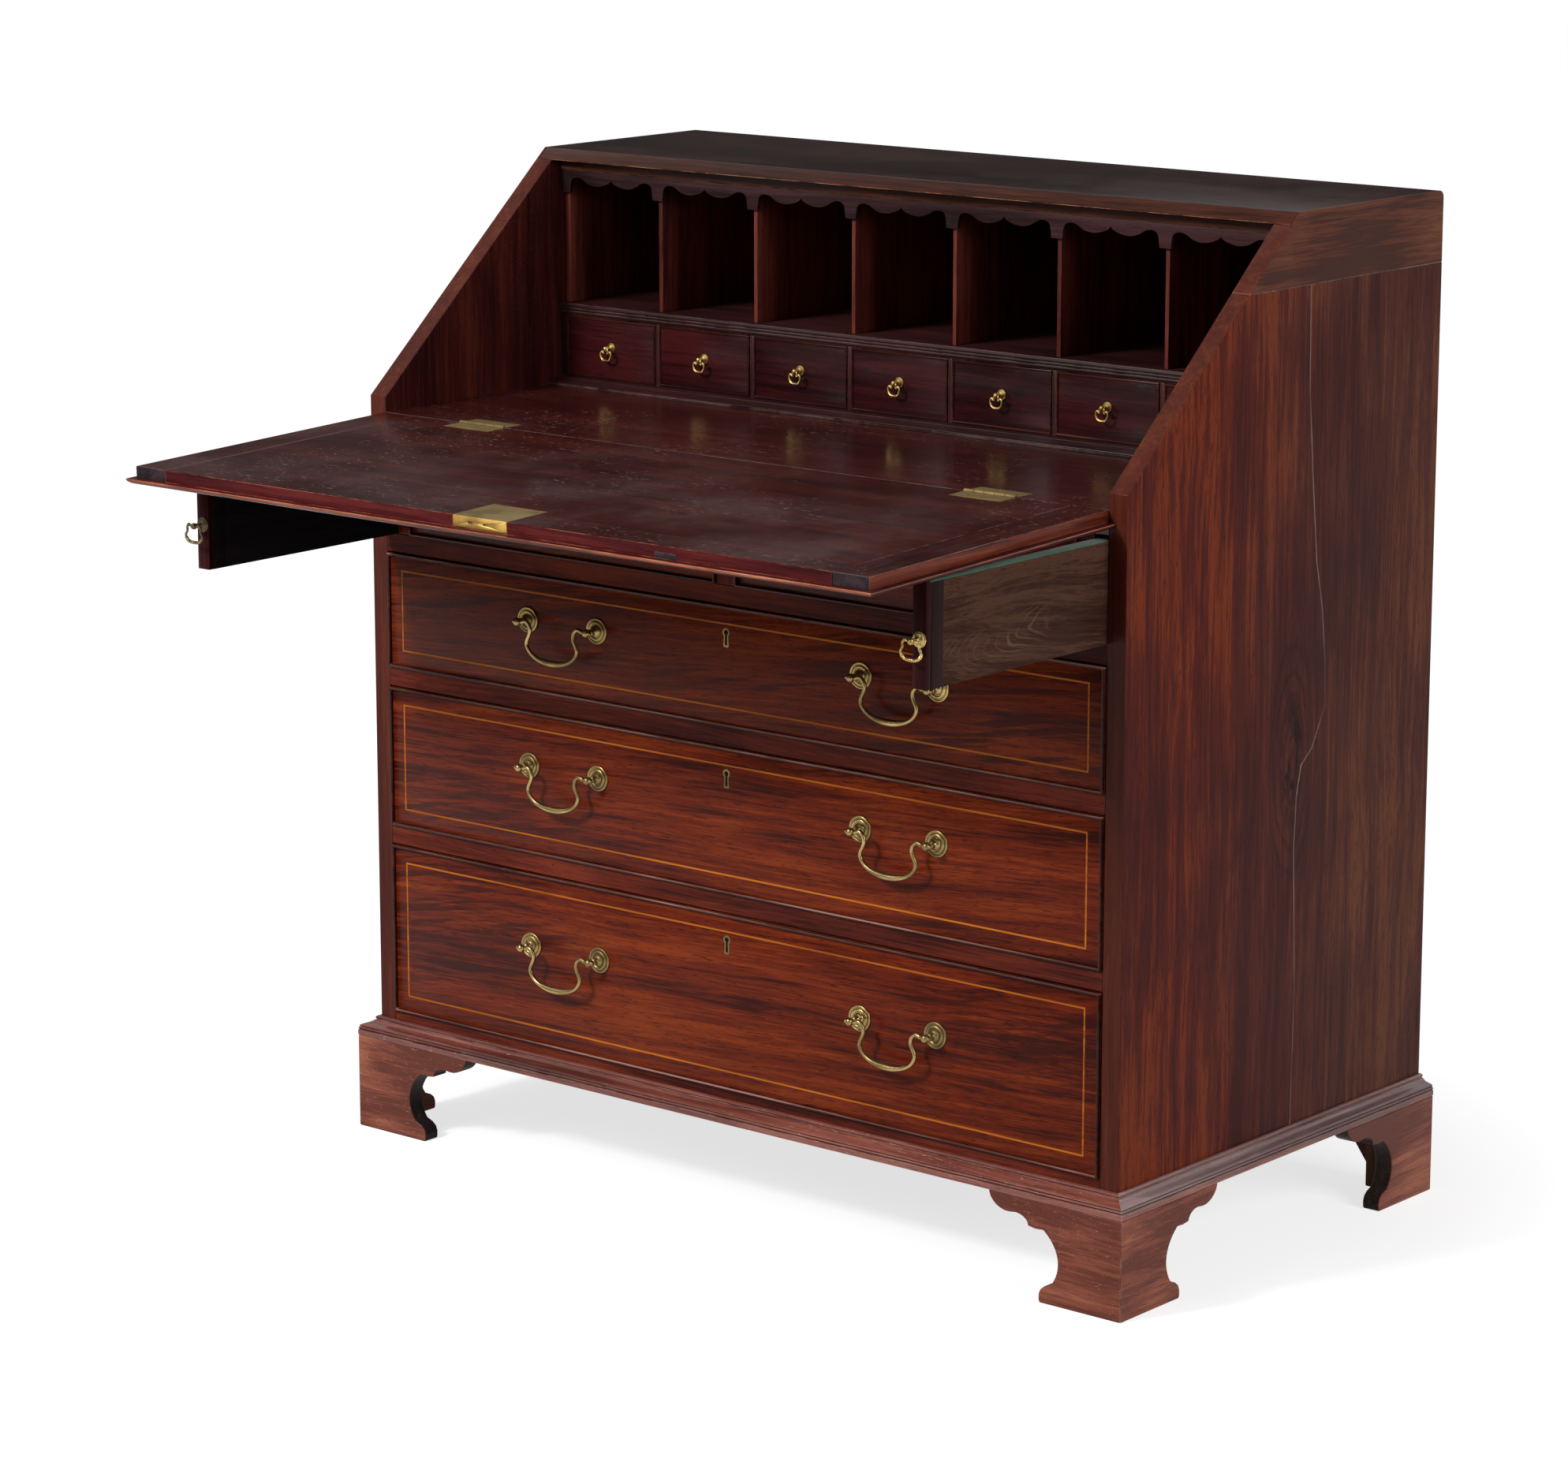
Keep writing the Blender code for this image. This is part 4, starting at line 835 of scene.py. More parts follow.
@dataclass(frozen=True)
class Baize:
    """A thin green woollen cloth, worn in places."""

    name: str = "baize"
    green: Colour = srgb(28, 92, 62)
    faded: Colour = srgb(78, 118, 92)

    def material(self) -> Material:
        """Make the finish once."""
        if self.name in bpy.data.materials:
            return bpy.data.materials[self.name]
        material, wires, shader, place = new_material(self.name)
        fuzz = wires.mottle(place, 900.0, 4.0, 0.7)
        patch = wires.mottle(place, 40.0, 3.0)
        share = wires.times(wires.spread(patch, 0.45, 0.7), wires.spread(fuzz, 0.3, 0.7, 0.4, 1.0))
        colour = wires.blend(share, (*self.green, 1), (*self.faded, 1))
        rough = wires.spread(fuzz, 0.2, 0.8, 0.85, 1.0)
        bump = wires.add("Bump", {"Strength": 0.5, "Distance": 0.0004, "Height": fuzz}).outputs[0]
        wires.feed(shader, {"Base Color": colour, "Roughness": rough, "Normal": bump, "Sheen Weight": 0.3})
        return material


def wood(name: str, *tones: tuple[int, int, int], **looks: object) -> Wood:
    """A wood finish out of its dark, middle, light and worn screen colours."""
    return Wood(name, *(srgb(*tone) for tone in tones), **looks)


CARCASS = wood(
    "carcass", (46, 15, 12), (86, 32, 22), (116, 48, 31), (160, 104, 78),
    wave=0.040, wear=0.6, specular=0.05,
)
MOULDING = wood(
    "moulding", (64, 28, 24), (118, 62, 52), (148, 88, 74), (200, 164, 152),
    stripe=0.7, wear=0.55, scratches=0.5, rough=0.22, specular=0.40,
)
# Dust and a painted highlight: a pale finish for the moulding faces that look up
DUST_AND_HIGHLIGHT = wood(
    "dusty", (92, 66, 64), (124, 98, 96), (152, 130, 128), (186, 166, 160),
    stripe=0.6, wear=0.2, rough=0.30, specular=0.35,
)
# Painted shade: a dark finish for the moulding faces that look down
UNDERSIDE_SHADE = wood("groove", (26, 10, 9), (44, 19, 17), (60, 29, 25), (110, 84, 76), rough=0.30)
FLANK = wood(
    "flank", (46, 13, 12), (80, 24, 16), (118, 47, 20), (176, 118, 88),
    wave=0.055, stripe=0.7, cloud=0.45, pores=0.8, knot=0.9, knot_spot=(0.5, 0.2, 0.508), rough=0.30,
    specular=0.04, rear=(srgb(48, 20, 17), srgb(76, 37, 30), srgb(102, 57, 37)),
)
UPPER = wood("upper", (58, 27, 19), (94, 50, 34), (120, 69, 45), (176, 128, 104), wave=0.05, cloud=0.6)
EDGE = wood(
    "edge", (58, 22, 16), (78, 32, 21), (98, 45, 28), (190, 140, 108),
    wear=0.8, cloud=0.2, stripe=0.6, specular=0.08,
)
TOP = wood("top", (26, 12, 11), (40, 21, 18), (54, 31, 26), (110, 74, 60), specular=0.10, rough=0.20)
NOSE = wood("nose", (36, 16, 13), (60, 31, 22), (82, 43, 30), (186, 126, 86), wear=1.0, specular=0.08)
VENEER = wood(
    "veneer", (42, 11, 9), (101, 34, 15), (132, 53, 20), (150, 84, 58),
    wave=0.035, slope=-0.05, flame=0.7, stripe=0.85, cloud=0.28, pores=0.7, rough=0.28, specular=0.07,
)
INNER = wood(
    "inner", (32, 11, 11), (54, 20, 18), (74, 29, 22), (172, 136, 124),
    wear=0.6, scratches=0.85, cloud=0.18, rough=0.23, specular=0.34, relief=0.05,
)
INNER_SIDE = wood(
    "inner_side", (42, 15, 15), (66, 25, 22), (90, 38, 28), (150, 112, 98),
    wear=0.6, scratches=0.25, rough=0.26, specular=0.12,
)
FITTING = wood("fitting", (30, 14, 15), (46, 21, 21), (62, 30, 28), (140, 112, 106), wear=1.0, specular=0.2)
LINING = wood("lining", (98, 66, 40), (136, 98, 62), (164, 126, 84), (176, 140, 100), rough=0.6, wear=0.3)
BACKING = wood("backing", (72, 48, 32), (104, 74, 50), (132, 98, 68), (150, 116, 84), rough=0.65, wear=0.3)
LOPER = wood(
    "loper", (36, 20, 17), (58, 35, 28), (82, 55, 44), (120, 92, 80),
    wave=0.16, rough=0.5, pores=0.5, wear=0.3, specular=0.03, arches=0.5,
)
# Painted shade: a near-black finish for the inner side of a loper, in the fall's shadow
LOPER_PAINTED_SHADE = wood(
    "loper_shade", (14, 12, 14), (24, 20, 22), (36, 29, 31), (70, 58, 56),
    rough=0.6, wear=0.2, specular=0.03,
)
LOPER_END = wood(
    "loper_end", (28, 15, 17), (44, 26, 27), (62, 40, 38), (90, 66, 60),
    rough=0.5, wear=0.2, specular=0.03,
)
FACING = wood("facing", (24, 6, 9), (44, 12, 15), (66, 20, 20), (110, 66, 56), wear=0.3, specular=0.03)
STRINGING = wood(
    "stringing", (148, 78, 23), (183, 101, 29), (201, 117, 39), (206, 140, 70),
    wear=0.0, pores=0.2,
)
CRACK_FILL = wood(
    "crack_fill", (84, 60, 56), (118, 94, 88), (150, 128, 120), (160, 140, 130),
    rough=0.6, wear=0.0,
)
HANDLE_BRASS = Brass("handle_brass", srgb(172, 148, 98), srgb(104, 86, 50), rough=0.22)
PULL_BRASS = Brass("pull_brass", srgb(222, 190, 118), srgb(140, 108, 54), rough=0.26)
PLATE_BRASS = Brass("plate_brass", srgb(138, 116, 72), srgb(92, 76, 46), rough=0.50)
ROPE_BRASS = Brass("rope_brass", srgb(190, 162, 102), srgb(90, 72, 42), rough=0.24)
# Painted shade: a darker copy of the rope brass, for the pull of the left loper
ROPE_BRASS_PAINTED_SHADE = Brass("dim_brass", srgb(120, 106, 76), srgb(66, 56, 38), rough=0.36)
EDGE_BRASS = Brass("edge_brass", srgb(206, 168, 92), srgb(140, 108, 54), rough=0.48)
# Painted shade: the near-black inside of a keyhole
KEYHOLE_PAINTED_SHADE = wood("dark_hole", (8, 6, 6), (12, 9, 8), (18, 12, 10), (18, 12, 10), rough=0.8, specular=0.1)
FOOT = wood(
    "foot", (80, 40, 33), (136, 76, 60), (168, 104, 80), (200, 160, 138),
    wave=0.06, wear=0.8, cloud=1.1, stripe=0.65, scratches=0.35, specular=0.10,
)
SAWN = wood("sawn", (34, 28, 28), (58, 46, 44), (82, 66, 60), (176, 136, 112), wear=1.0, rough=0.5)
SMALL_FACE = wood(
    "small_face", (25, 7, 9), (44, 13, 15), (64, 21, 22), (120, 70, 56),
    rough=0.24, specular=0.2,
)
BEAD = wood(
    "bead", (30, 10, 9), (52, 19, 15), (76, 32, 23), (150, 96, 76),
    wear=0.15, rough=0.22, specular=0.12,
)
# Painted highlight: a pale finish for the upper rounding of a cockbead, where it would catch the light
BEAD_HIGHLIGHT = wood(
    "bead_line", (70, 36, 30), (112, 74, 66), (156, 120, 112), (190, 160, 150),
    cloud=0.9, specular=0.2,
)
PARTITION = wood("partition", (60, 24, 21), (92, 40, 34), (118, 56, 46), (150, 104, 84), wear=0.9)
VALANCE = wood("valance", (30, 16, 18), (48, 28, 30), (68, 42, 43), (116, 80, 72), rough=0.45)
LIP = wood("lip", (42, 16, 16), (68, 28, 25), (92, 42, 33), (150, 90, 68), wear=0.4)
FALL_EDGE = wood(
    "fall_edge", (40, 11, 14), (70, 21, 24), (94, 34, 32), (196, 104, 74),
    wear=1.0, specular=0.04,
)
LIP_WORN = wood(
    "lip_worn", (104, 46, 32), (164, 86, 60), (204, 124, 92), (226, 176, 148),
    wear=0.8, cloud=0.8,
)
FALL_SIDE = wood("fall_side", (64, 22, 16), (104, 45, 30), (132, 66, 44), (196, 140, 112), wear=1.0)
END_GRAIN = wood(
    "end_grain", (26, 20, 25), (44, 34, 40), (66, 52, 54), (130, 100, 90),
    pores=0.9, rough=0.5,
)
BAIZE = Baize()


# Sizes


def low_of(node: str) -> Vector:
    """A node's lowest corner at rest."""
    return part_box(node)[0]


def high_of(node: str) -> Vector:
    """A node's highest corner at rest."""
    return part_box(node)[1]


def joint_spot(joint: str) -> Vector:
    """Where a hinge's pin is."""
    return Vector(next(j for j in frame["joints"] if j["name"] == joint)["pos_m"])


@dataclass(frozen=True)
class Sizes:
    """The places that the sub-assemblies share, measured from the nodes."""

    front: float
    back: float
    inner_back: float
    half: float
    inner: float
    foot_top: float
    top: float
    top_underside: float
    write: float
    setback: float
    slant_bottom: float
    droop: float

    @property
    def slant(self) -> float:
        """The slope of the slanted edges."""
        return math.atan2(self.top - self.slant_bottom, self.setback)

    def slant_y(self, height: float) -> float:
        """Where the slanted edges are at a height."""
        return self.front + (height - self.slant_bottom) / math.tan(self.slant)

    @classmethod
    def measured(cls) -> "Sizes":
        """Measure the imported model."""
        side_low, side_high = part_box("side_right")
        hinge = next(joint for joint in frame["joints"] if joint["name"] == "fall_hinge")
        pin = hinge["pos_m"][2]
        body, setback = 0.0122, 0.280
        top = side_high.z
        away = math.hypot(setback, top - pin)
        slant = math.acos(body / away) - math.atan2(setback, top - pin)
        turn = math.radians(-min(hinge["range_deg"]))
        return cls(
            front=side_low.y,
            back=side_high.y,
            inner_back=high_of("rail_low").y,
            half=side_high.x,
            inner=side_low.x,
            foot_top=side_low.z,
            top=top,
            top_underside=low_of("top_board").z,
            write=pin,
            setback=setback,
            slant_bottom=pin + body / math.cos(slant),
            droop=turn - math.pi + slant,
        )


SIZES = Sizes.measured()


# Carcass


@dataclass
class Carcass:
    """The fixed boards of the case."""

    seam: float = 0.985
    top_skin: float = 0.003
    nose: float = 0.0119
    rebate: float = 0.010
    planks: int = 6
    joint_soft: float = 0.0006
    joint_reach: float = 0.0012
    rubbed: float = 0.007
    top_soft: float = 0.0010
    plank_soft: float = 0.0014
    strike: tuple[float, float] = (-0.016, 0.012)
    strike_set_back: tuple[float, float] = (0.0105, 0.0015)

    @property
    def crack(self) -> Outline:
        """The wandering joint of the upright boards as (distance from the front, height), downwards."""
        points = [
            (0.302, self.seam), (0.304, 0.880), (0.313, 0.790), (0.323, 0.705), (0.335, 0.655),
            (0.342, 0.600), (0.344, 0.555), (0.322, 0.515), (0.303, 0.500), (0.296, 0.470), (0.293, 0.415),
            (0.300, 0.270), (0.297, SIZES.foot_top),
        ]
        return [(SIZES.front + away, height) for away, height in points]

    def back_corner(self) -> Outline:
        """The rubbed corner at the top of the back."""
        y, z, radius = SIZES.back, SIZES.top, self.rubbed
        turns = arc(math.pi / 2, 0.0, 5)
        return [(y - radius * (1 - math.cos(a)), z - radius * (1 - math.sin(a))) for a in turns]

    def crack_at(self, height: float) -> float:
        """Where the joint is at a height."""
        points = self.crack
        for (ay, az), (by, bz) in zip(points, points[1:]):
            if bz <= height <= az:
                return ay + (by - ay) * (az - height) / (az - bz)
        return points[0][0]

    def lap(self, side: Side) -> Piece:
        """Make the cutter for the lap that takes the end of the top board."""
        s = SIZES
        start, over = s.front + s.setback + GAP, s.half
        under, nose = s.top_underside - GAP, s.top - self.nose - GAP
        outline = [
            (start, under), (start, nose), (s.front, nose), (s.front, s.top + over),
            (s.back + over, s.top + over), (s.back + over, under),
        ]
        ends = (side.value * (s.inner - over), side.value * (s.half - self.top_skin))
        return board("lap", outline, Plane.FLANK, *ends, 0)

    def side(self, side: Side) -> None:
        """Build one side: two upright boards under a level one, cut for the top and the back."""
        s, way, crack = SIZES, side.value, self.crack
        meet, heel = (s.slant_y(self.seam), self.seam), (s.back, self.seam)
        outlines = {
            "front_board": [(s.front, s.foot_top), (s.front, s.slant_bottom), meet, *crack],
            "back_board": [*reversed(crack), heel, (s.back, s.foot_top)],
            "level_board": [meet, (s.front + s.setback, s.top), *self.back_corner(), heel],
        }
        slope = Vector((0, -math.sin(s.slant), math.cos(s.slant)))
        shift = 0.3 * way + 1.1
        for word, outline in outlines.items():
            level = word == "level_board"
            piece = board(f"side_{side.word}_{word}", outline, Plane.FLANK, way * s.inner, way * s.half, 0)
            mouth_high = (way * (s.inner + self.rebate), s.back + s.half, s.top + s.half)
            cut(piece, block("mouth", (way * (s.inner - s.half), s.inner_back, 0), mouth_high, 0))
            if level:
                cut(piece, self.lap(side))
            soften(piece, EASED, 3)
            look = UPPER.material(Grain.ALONG_Y, shift) if level else FLANK.material(Grain.ALONG_Z, shift)
            nodes = [f"side_{side.word}"] if word == "front_board" else []
            settle(piece, "case", look, "case_mahogany", *nodes)
            paint(piece, INNER_SIDE.material(Grain.ALONG_Z, shift), faces("x", -way, 0.7))
            edge = EDGE.material(Grain.ALONG_SLANT if level else Grain.ALONG_Z, shift)
            paint(piece, edge, lambda normal, spot: normal.y < -0.7 or normal.dot(slope) > 0.8)
            fill = CRACK_FILL.material(Grain.ALONG_Z)
            paint(piece, fill, lambda normal, spot: self.at_joint(normal, spot, side))

    def at_joint(self, normal: Vector, spot: Vector, side: Side) -> bool:
        """Whether a face lies on a softened arris where two boards of a side meet."""
        outside = spot.x * side.value > SIZES.half - self.joint_reach
        level = abs(spot.z - self.seam) < self.joint_soft
        upright = spot.z < self.seam and abs(spot.y - self.crack_at(spot.z)) < self.joint_reach
        return outside and abs(normal.x) < 0.995 and (level or upright)

    def top(self) -> None:
        """Build the top board with its slanted nose, and the strike plate under it."""
        s = SIZES
        start, nose = s.front + s.setback, s.top - self.nose
        outline = [
            (start - self.nose / math.tan(s.slant), nose), (start, s.top), *self.back_corner(),
            (s.back, s.top_underside), (start + 0.001, s.top_underside), (start + 0.001, nose),
        ]
        half = s.half - self.top_skin - GAP
        piece = board("top_board_panel", outline, Plane.FLANK, -half, half, self.top_soft)
        settle(piece, "case", TOP.material(Grain.ALONG_X), "case_mahogany", "top_board")
        paint(piece, NOSE.material(Grain.ALONG_X), faces("y", -1, 0.35))
        paint(piece, INNER.material(Grain.ALONG_X), faces("z", -1, 0.8))
        (left, right), (near, far) = self.strike, self.strike_set_back
        ends = (left, start - near, nose - 0.0001), (right, start - far, nose + 0.001)
        settle(block("strike_plate", *ends, SHARP), "case", PLATE_BRASS.material(), "aged_brass")

    def backs(self) -> None:
        """Build the back as upright planks."""
        low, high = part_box("back_boards")
        pitch = (high.x - low.x) / self.planks
        size = Vector((pitch - 2 * GAP, high.y - low.y, high.z - low.z))
        for k in range(self.planks):
            spot = low + Vector((k * pitch + GAP, 0, 0))
            nodes = ["back_boards"] if k == 0 else []
            name = f"back_plank_{k + 1}"
            plank = REPEATS.place("plank", name, spot, lambda at: block(name, at, at + size, self.plank_soft))
            settle(plank, "case", BACKING.material(Grain.ALONG_Z, 0.37 * k), "drawer_oak", *nodes)

    def build(self) -> None:
        """Build the sides, the top and the back, and dress the boards that keep their shape."""
        for side in Side:
            self.side(side)
        self.top()
        self.backs()
        for k, node in enumerate(("rail_low", "rail_mid", "rail_high", "bottom_board")):
            keep(node, CARCASS.material(Grain.ALONG_X, 0.21 * k))
        for node in ("loper_partition_left", "loper_partition_right", "short_drawer_divider"):
            keep(node, CARCASS.material(Grain.ALONG_Z, 0.5))
        keep("writing_board", INNER.material(Grain.ALONG_X, 0.4), EASED)


# Base


@dataclass
class BaseMoulding:
    """The moulding round the foot of the case: a fascia, two reeds, an ogee and a bead."""

    out: float = 0.018
    height: float = 0.021

    def section(self) -> Outline:
        """The section as (reach, rise) from the case's foot, from the inside round."""
        shares = [(0.0, 0.0), (1.0, 0.0), (1.0, 0.27), (0.965, 0.285)]
        turns = arc(0.1, math.pi - 0.1, 6)
        shares += [(0.90 + 0.085 * math.sin(a), 0.36 - 0.07 * math.cos(a)) for a in turns]
        shares += [(0.86 + 0.080 * math.sin(a), 0.49 - 0.055 * math.cos(a)) for a in turns]
        shares += [
            (0.855, 0.555), (0.80, 0.575), (0.70, 0.60), (0.58, 0.625), (0.47, 0.655), (0.39, 0.695),
            (0.33, 0.745), (0.27, 0.785), (0.20, 0.80), (0.20, 0.825),
        ]
        turns = arc(0.3, math.pi - 0.3, 6)
        shares += [(0.17 + 0.075 * math.sin(a), 0.905 - 0.075 * math.cos(a)) for a in turns]
        shares += [(0.15, 1.0), (0.0, 1.0)]
        return [(self.out * reach, self.height * rise) for reach, rise in shares]

    def finish(self, piece: Piece, grain: Grain, node: str, dusty: bool) -> None:
        """Dress one length: painted shade on the faces that look down, and, where it says so, a pale finish
        of dust and painted highlight on the faces that look up.
        """
        soften(piece, 0)
        settle(piece, "case", MOULDING.material(grain, 0.9), "case_mahogany", node)
        # On the side lengths, dust and a painted highlight on the faces that look up
        if dusty:
            paint(piece, DUST_AND_HIGHLIGHT.material(grain, 0.9), faces("z", 1, 0.25))
        # Painted shade on the faces that look down
        paint(piece, UNDERSIDE_SHADE.material(grain, 0.9), faces("z", -1, 0.25))

    def build(self) -> None:
        """Build the front length and the two side lengths, mitred where they meet."""
        half, low, front = SIZES.half + GAP, SIZES.foot_top, SIZES.front - GAP
        over = 2 * self.out
        outline = [(front - reach, low + rise) for reach, rise in self.section()]
        piece = board("base_moulding_front_run", outline, Plane.FLANK, -half - over, half + over, 0)
        for side in Side:
            mitre(piece, (side.value * half, front, low), (side.value, 1, 0))
        self.finish(piece, Grain.ALONG_X, "base_moulding_front", False)
        for side in Side:
            outline = [(side.value * (half + reach), low + rise) for reach, rise in self.section()]
            piece = board(f"base_moulding_{side.word}_run", outline, Plane.FRONT, front - over, SIZES.back, 0)
            mitre(piece, (side.value * half, front, low), (-side.value, -1, 0))
            self.finish(piece, Grain.ALONG_Y, f"base_moulding_{side.word}", True)


@dataclass
class BracketFeet:
    """The four bracket feet."""

    reach: float = 0.163
    thick: float = 0.020
    glue: float = 0.030
    glue_soft: float = 0.0015
    hidden_thick: float = 0.019
    hidden_foot: float = 0.055
    hidden_head: float = 0.130
    clear: float = 0.001
    lift: float = 0.006
    out: float = 0.018

    def outline(self, height: float) -> Outline:
        """The bracket's outline as (distance from the corner, height)."""
        toe = [(0.607, 0.0), (0.614, 0.030), (0.614, 0.085), (0.601, 0.135), (0.572, 0.172), (0.521, 0.205)]
        hollow = curve_through((0.521, 0.205), (0.472, 0.442), (0.583, 0.728), 12)
        step = [(0.640, 0.722), (0.699, 0.735)]
        scoop = curve_through((0.699, 0.735), (0.727, 0.806), (0.791, 0.838), 5)
        lobe = [
            (0.845, 0.828), (0.880, 0.830), (0.912, 0.845), (0.942, 0.868), (0.966, 0.900), (0.986, 0.940),
            (1.0, 1.0),
        ]
        shares = [(0.0, 0.0)] + toe + hollow + step + scoop + lobe + [(0.0, 1.0)]
        return [(self.reach * away, height * up) for away, up in shares]

    def foot(self, side: Side, front: bool) -> None:
        """Build one foot: its boards and its glue block."""
        end, hand, way = "front" if front else "rear", side.value, 1 if front else -1
        top, out = SIZES.foot_top - GAP, SIZES.half + GAP + self.out
        corner = SIZES.front - GAP - self.out if front else SIZES.back
        inside = out - self.thick
        bracket = self.outline(top)
        flank_outline = [(corner + way * away, up) for away, up in bracket]
        ends = (hand * inside, hand * out)
        flank = board(f"foot_{end}_{side.word}_flank", flank_outline, Plane.FLANK, *ends, 0)
        if front:
            face_outline = [(hand * (out - away), up) for away, up in bracket]
            ends = (corner, corner + self.thick)
        else:
            low, high, start = self.clear, top - self.clear, inside - GAP
            foot, head = out - self.hidden_foot, out - self.hidden_head
            plain = [(start, low), (foot, low), (head, high), (start, high)]
            face_outline = [(hand * x, z) for x, z in plain]
            ends = (corner - self.hidden_thick, corner - self.clear)
        face = board(f"foot_{end}_{side.word}_face", face_outline, Plane.FRONT, *ends, 0)
        if front:
            mitre(face, (hand * out, corner, 0), (hand, 1, 0))
            mitre(flank, (hand * out, corner, 0), (-hand, -1, 0))
        near, far = self.thick + GAP, self.thick + self.glue
        glue_low = (hand * (inside - GAP), corner + way * near, self.lift)
        glue_high = (hand * (inside - self.glue), corner + way * far, top - self.clear)
        glue = block(f"foot_{end}_{side.word}_block", glue_low, glue_high, self.glue_soft)
        for piece, grain in ((face, Grain.ALONG_X), (flank, Grain.ALONG_Y)):
            soften(piece, ROUNDED, 3)
            settle(piece, "case", FOOT.material(grain, 0.4 * hand + way), "case_mahogany")
        sawn = SAWN.material(Grain.ALONG_Y)
        paint(flank, sawn, lambda normal, spot: abs(normal.x) < 0.6 and abs(spot.y - corner) > near)
        sawn = SAWN.material(Grain.ALONG_X)
        paint(face, sawn, lambda normal, spot: abs(normal.y) < 0.6 and abs(abs(spot.x) - out) > near)
        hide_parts(f"foot_{end}_{side.word}")
        settle(glue, "case", BACKING.material(Grain.ALONG_Z, hand), "case_mahogany")

    def build(self) -> None:
        """Build all four feet."""
        for side in Side:
            self.foot(side, True)
            self.foot(side, False)


# Gallery


@dataclass
class Gallery:
    """The shelf of pigeonholes over the small drawers."""

    bays: int = 7
    set_back: float = 0.001
    standard: float = 0.008
    divider: float = 0.005
    base_reach: float = 0.024
    base_height: float = 0.009
    shelf_reach: float = 0.0022
    shelf_thick: float = 0.013
    valance_drop: float = 0.025
    valance_thick: float = 0.005
    face_thick: float = 0.009
    face_clear: float = 0.0005
    lining_height: float = 0.0609

    @property
    def front(self) -> float:
        """The gallery's front plane."""
        return SIZES.front + SIZES.setback + self.set_back

    @property
    def half(self) -> float:
        """Half the gallery's width."""
        return SIZES.inner - GAP

    @property
    def bay(self) -> float:
        """The clear width of a bay."""
        clear = 2 * (self.half - self.standard) - (self.bays - 1) * self.divider
        return clear / self.bays

    @property
    def pitch(self) -> float:
        """The distance between the middles of two bays."""
        return self.bay + self.divider

    @property
    def middles(self) -> list[float]:
        """The middle of each bay from the left."""
        return [(k - (self.bays - 1) / 2) * self.pitch for k in range(self.bays)]

    def uprights(self, word: str, front: float, low: float, high: float, soft: float) -> list[Piece]:
        """Build the dividers of one row of bays and its two end standards."""
        starts = [middle + self.bay / 2 for middle in self.middles[:-1]]
        runs = [(f"{word}_{k + 1}", start, self.divider) for k, start in enumerate(starts)]
        standard = self.standard - GAP
        runs.append((f"{word}_end_left", GAP - self.half, standard))
        runs.append((f"{word}_end_right", self.half - self.standard, standard))
        made = []
        for name, start, width in runs:
            size = Vector((width, SIZES.inner_back - front, high - low))
            spot = Vector((start, front, low))
            kind = f"{word}_{width:.4f}"
            made.append(REPEATS.place(kind, name, spot, lambda at: block(word, at, at + size, soft)))
        return made

    def moulded(
        self, name: str, shares: Outline, reach: float, low: float, high: float, soft: float
    ) -> Piece:
        """Build a level board with a moulded front edge, drawn as shares of its reach and its rise."""
        edge = [(self.front - reach * out, low + (high - low) * up) for out, up in shares]
        outline = [(SIZES.inner_back, low), *edge, (SIZES.inner_back, high)]
        return board(name, outline, Plane.FLANK, -self.half, self.half, soft)

    def base(self) -> None:
        """Build the moulded board under the small drawers and the dividers on it."""
        low = SIZES.write + GAP
        high = low + self.base_height
        shares = [(1.0, 0.0), (1.0, 0.22)]
        shares += [(0.92 + 0.06 * math.sin(a), 0.34 - 0.12 * math.cos(a)) for a in arc(0.4, math.pi - 0.3, 4)]
        shares += [
            (0.80, 0.47), (0.68, 0.52), (0.58, 0.60), (0.50, 0.70), (0.42, 0.78), (0.40, 0.86),
            (0.30, 0.88), (0.16, 0.94), (0.06, 1.0),
        ]
        piece = self.moulded("gallery_base_board", shares, self.base_reach, low, high, CRISP)
        settle(piece, "case", FITTING.material(Grain.ALONG_X, 0.3), "inner_mahogany", "gallery_base")
        shelf_low = low_of("pigeonholes").z
        for upright in self.uprights("drawer_divider", self.front, high, shelf_low - GAP, FINE):
            settle(upright, "case", FITTING.material(Grain.ALONG_Z, 0.2), "inner_mahogany")

    def shelf(self) -> None:
        """Build the reeded shelf and the partitions that stand on it."""
        low = low_of("pigeonholes").z
        high = low + self.shelf_thick
        shares = [(0.0, 0.0), (0.35, 0.02)]
        turns = arc(0.25, math.pi - 0.25, 4)
        for middle in (0.24, 0.50, 0.76):
            shares += [(1.0 - 0.55 * (1 - math.sin(a)), middle - 0.12 * math.cos(a)) for a in turns]
        shares += [(0.35, 0.98), (0.0, 1.0)]
        piece = self.moulded("gallery_shelf", shares, self.shelf_reach, low, high, 0)
        settle(piece, "case", FITTING.material(Grain.ALONG_X, 0.7), "inner_mahogany", "pigeonholes")
        back_of_valance = self.front + self.set_back + self.valance_thick + GAP
        top = SIZES.top_underside - GAP
        for k, upright in enumerate(self.uprights("partition", back_of_valance, high, top, ROUNDED)):
            settle(upright, "case", PARTITION.material(Grain.ALONG_Z, 0.13 * k), "inner_mahogany")

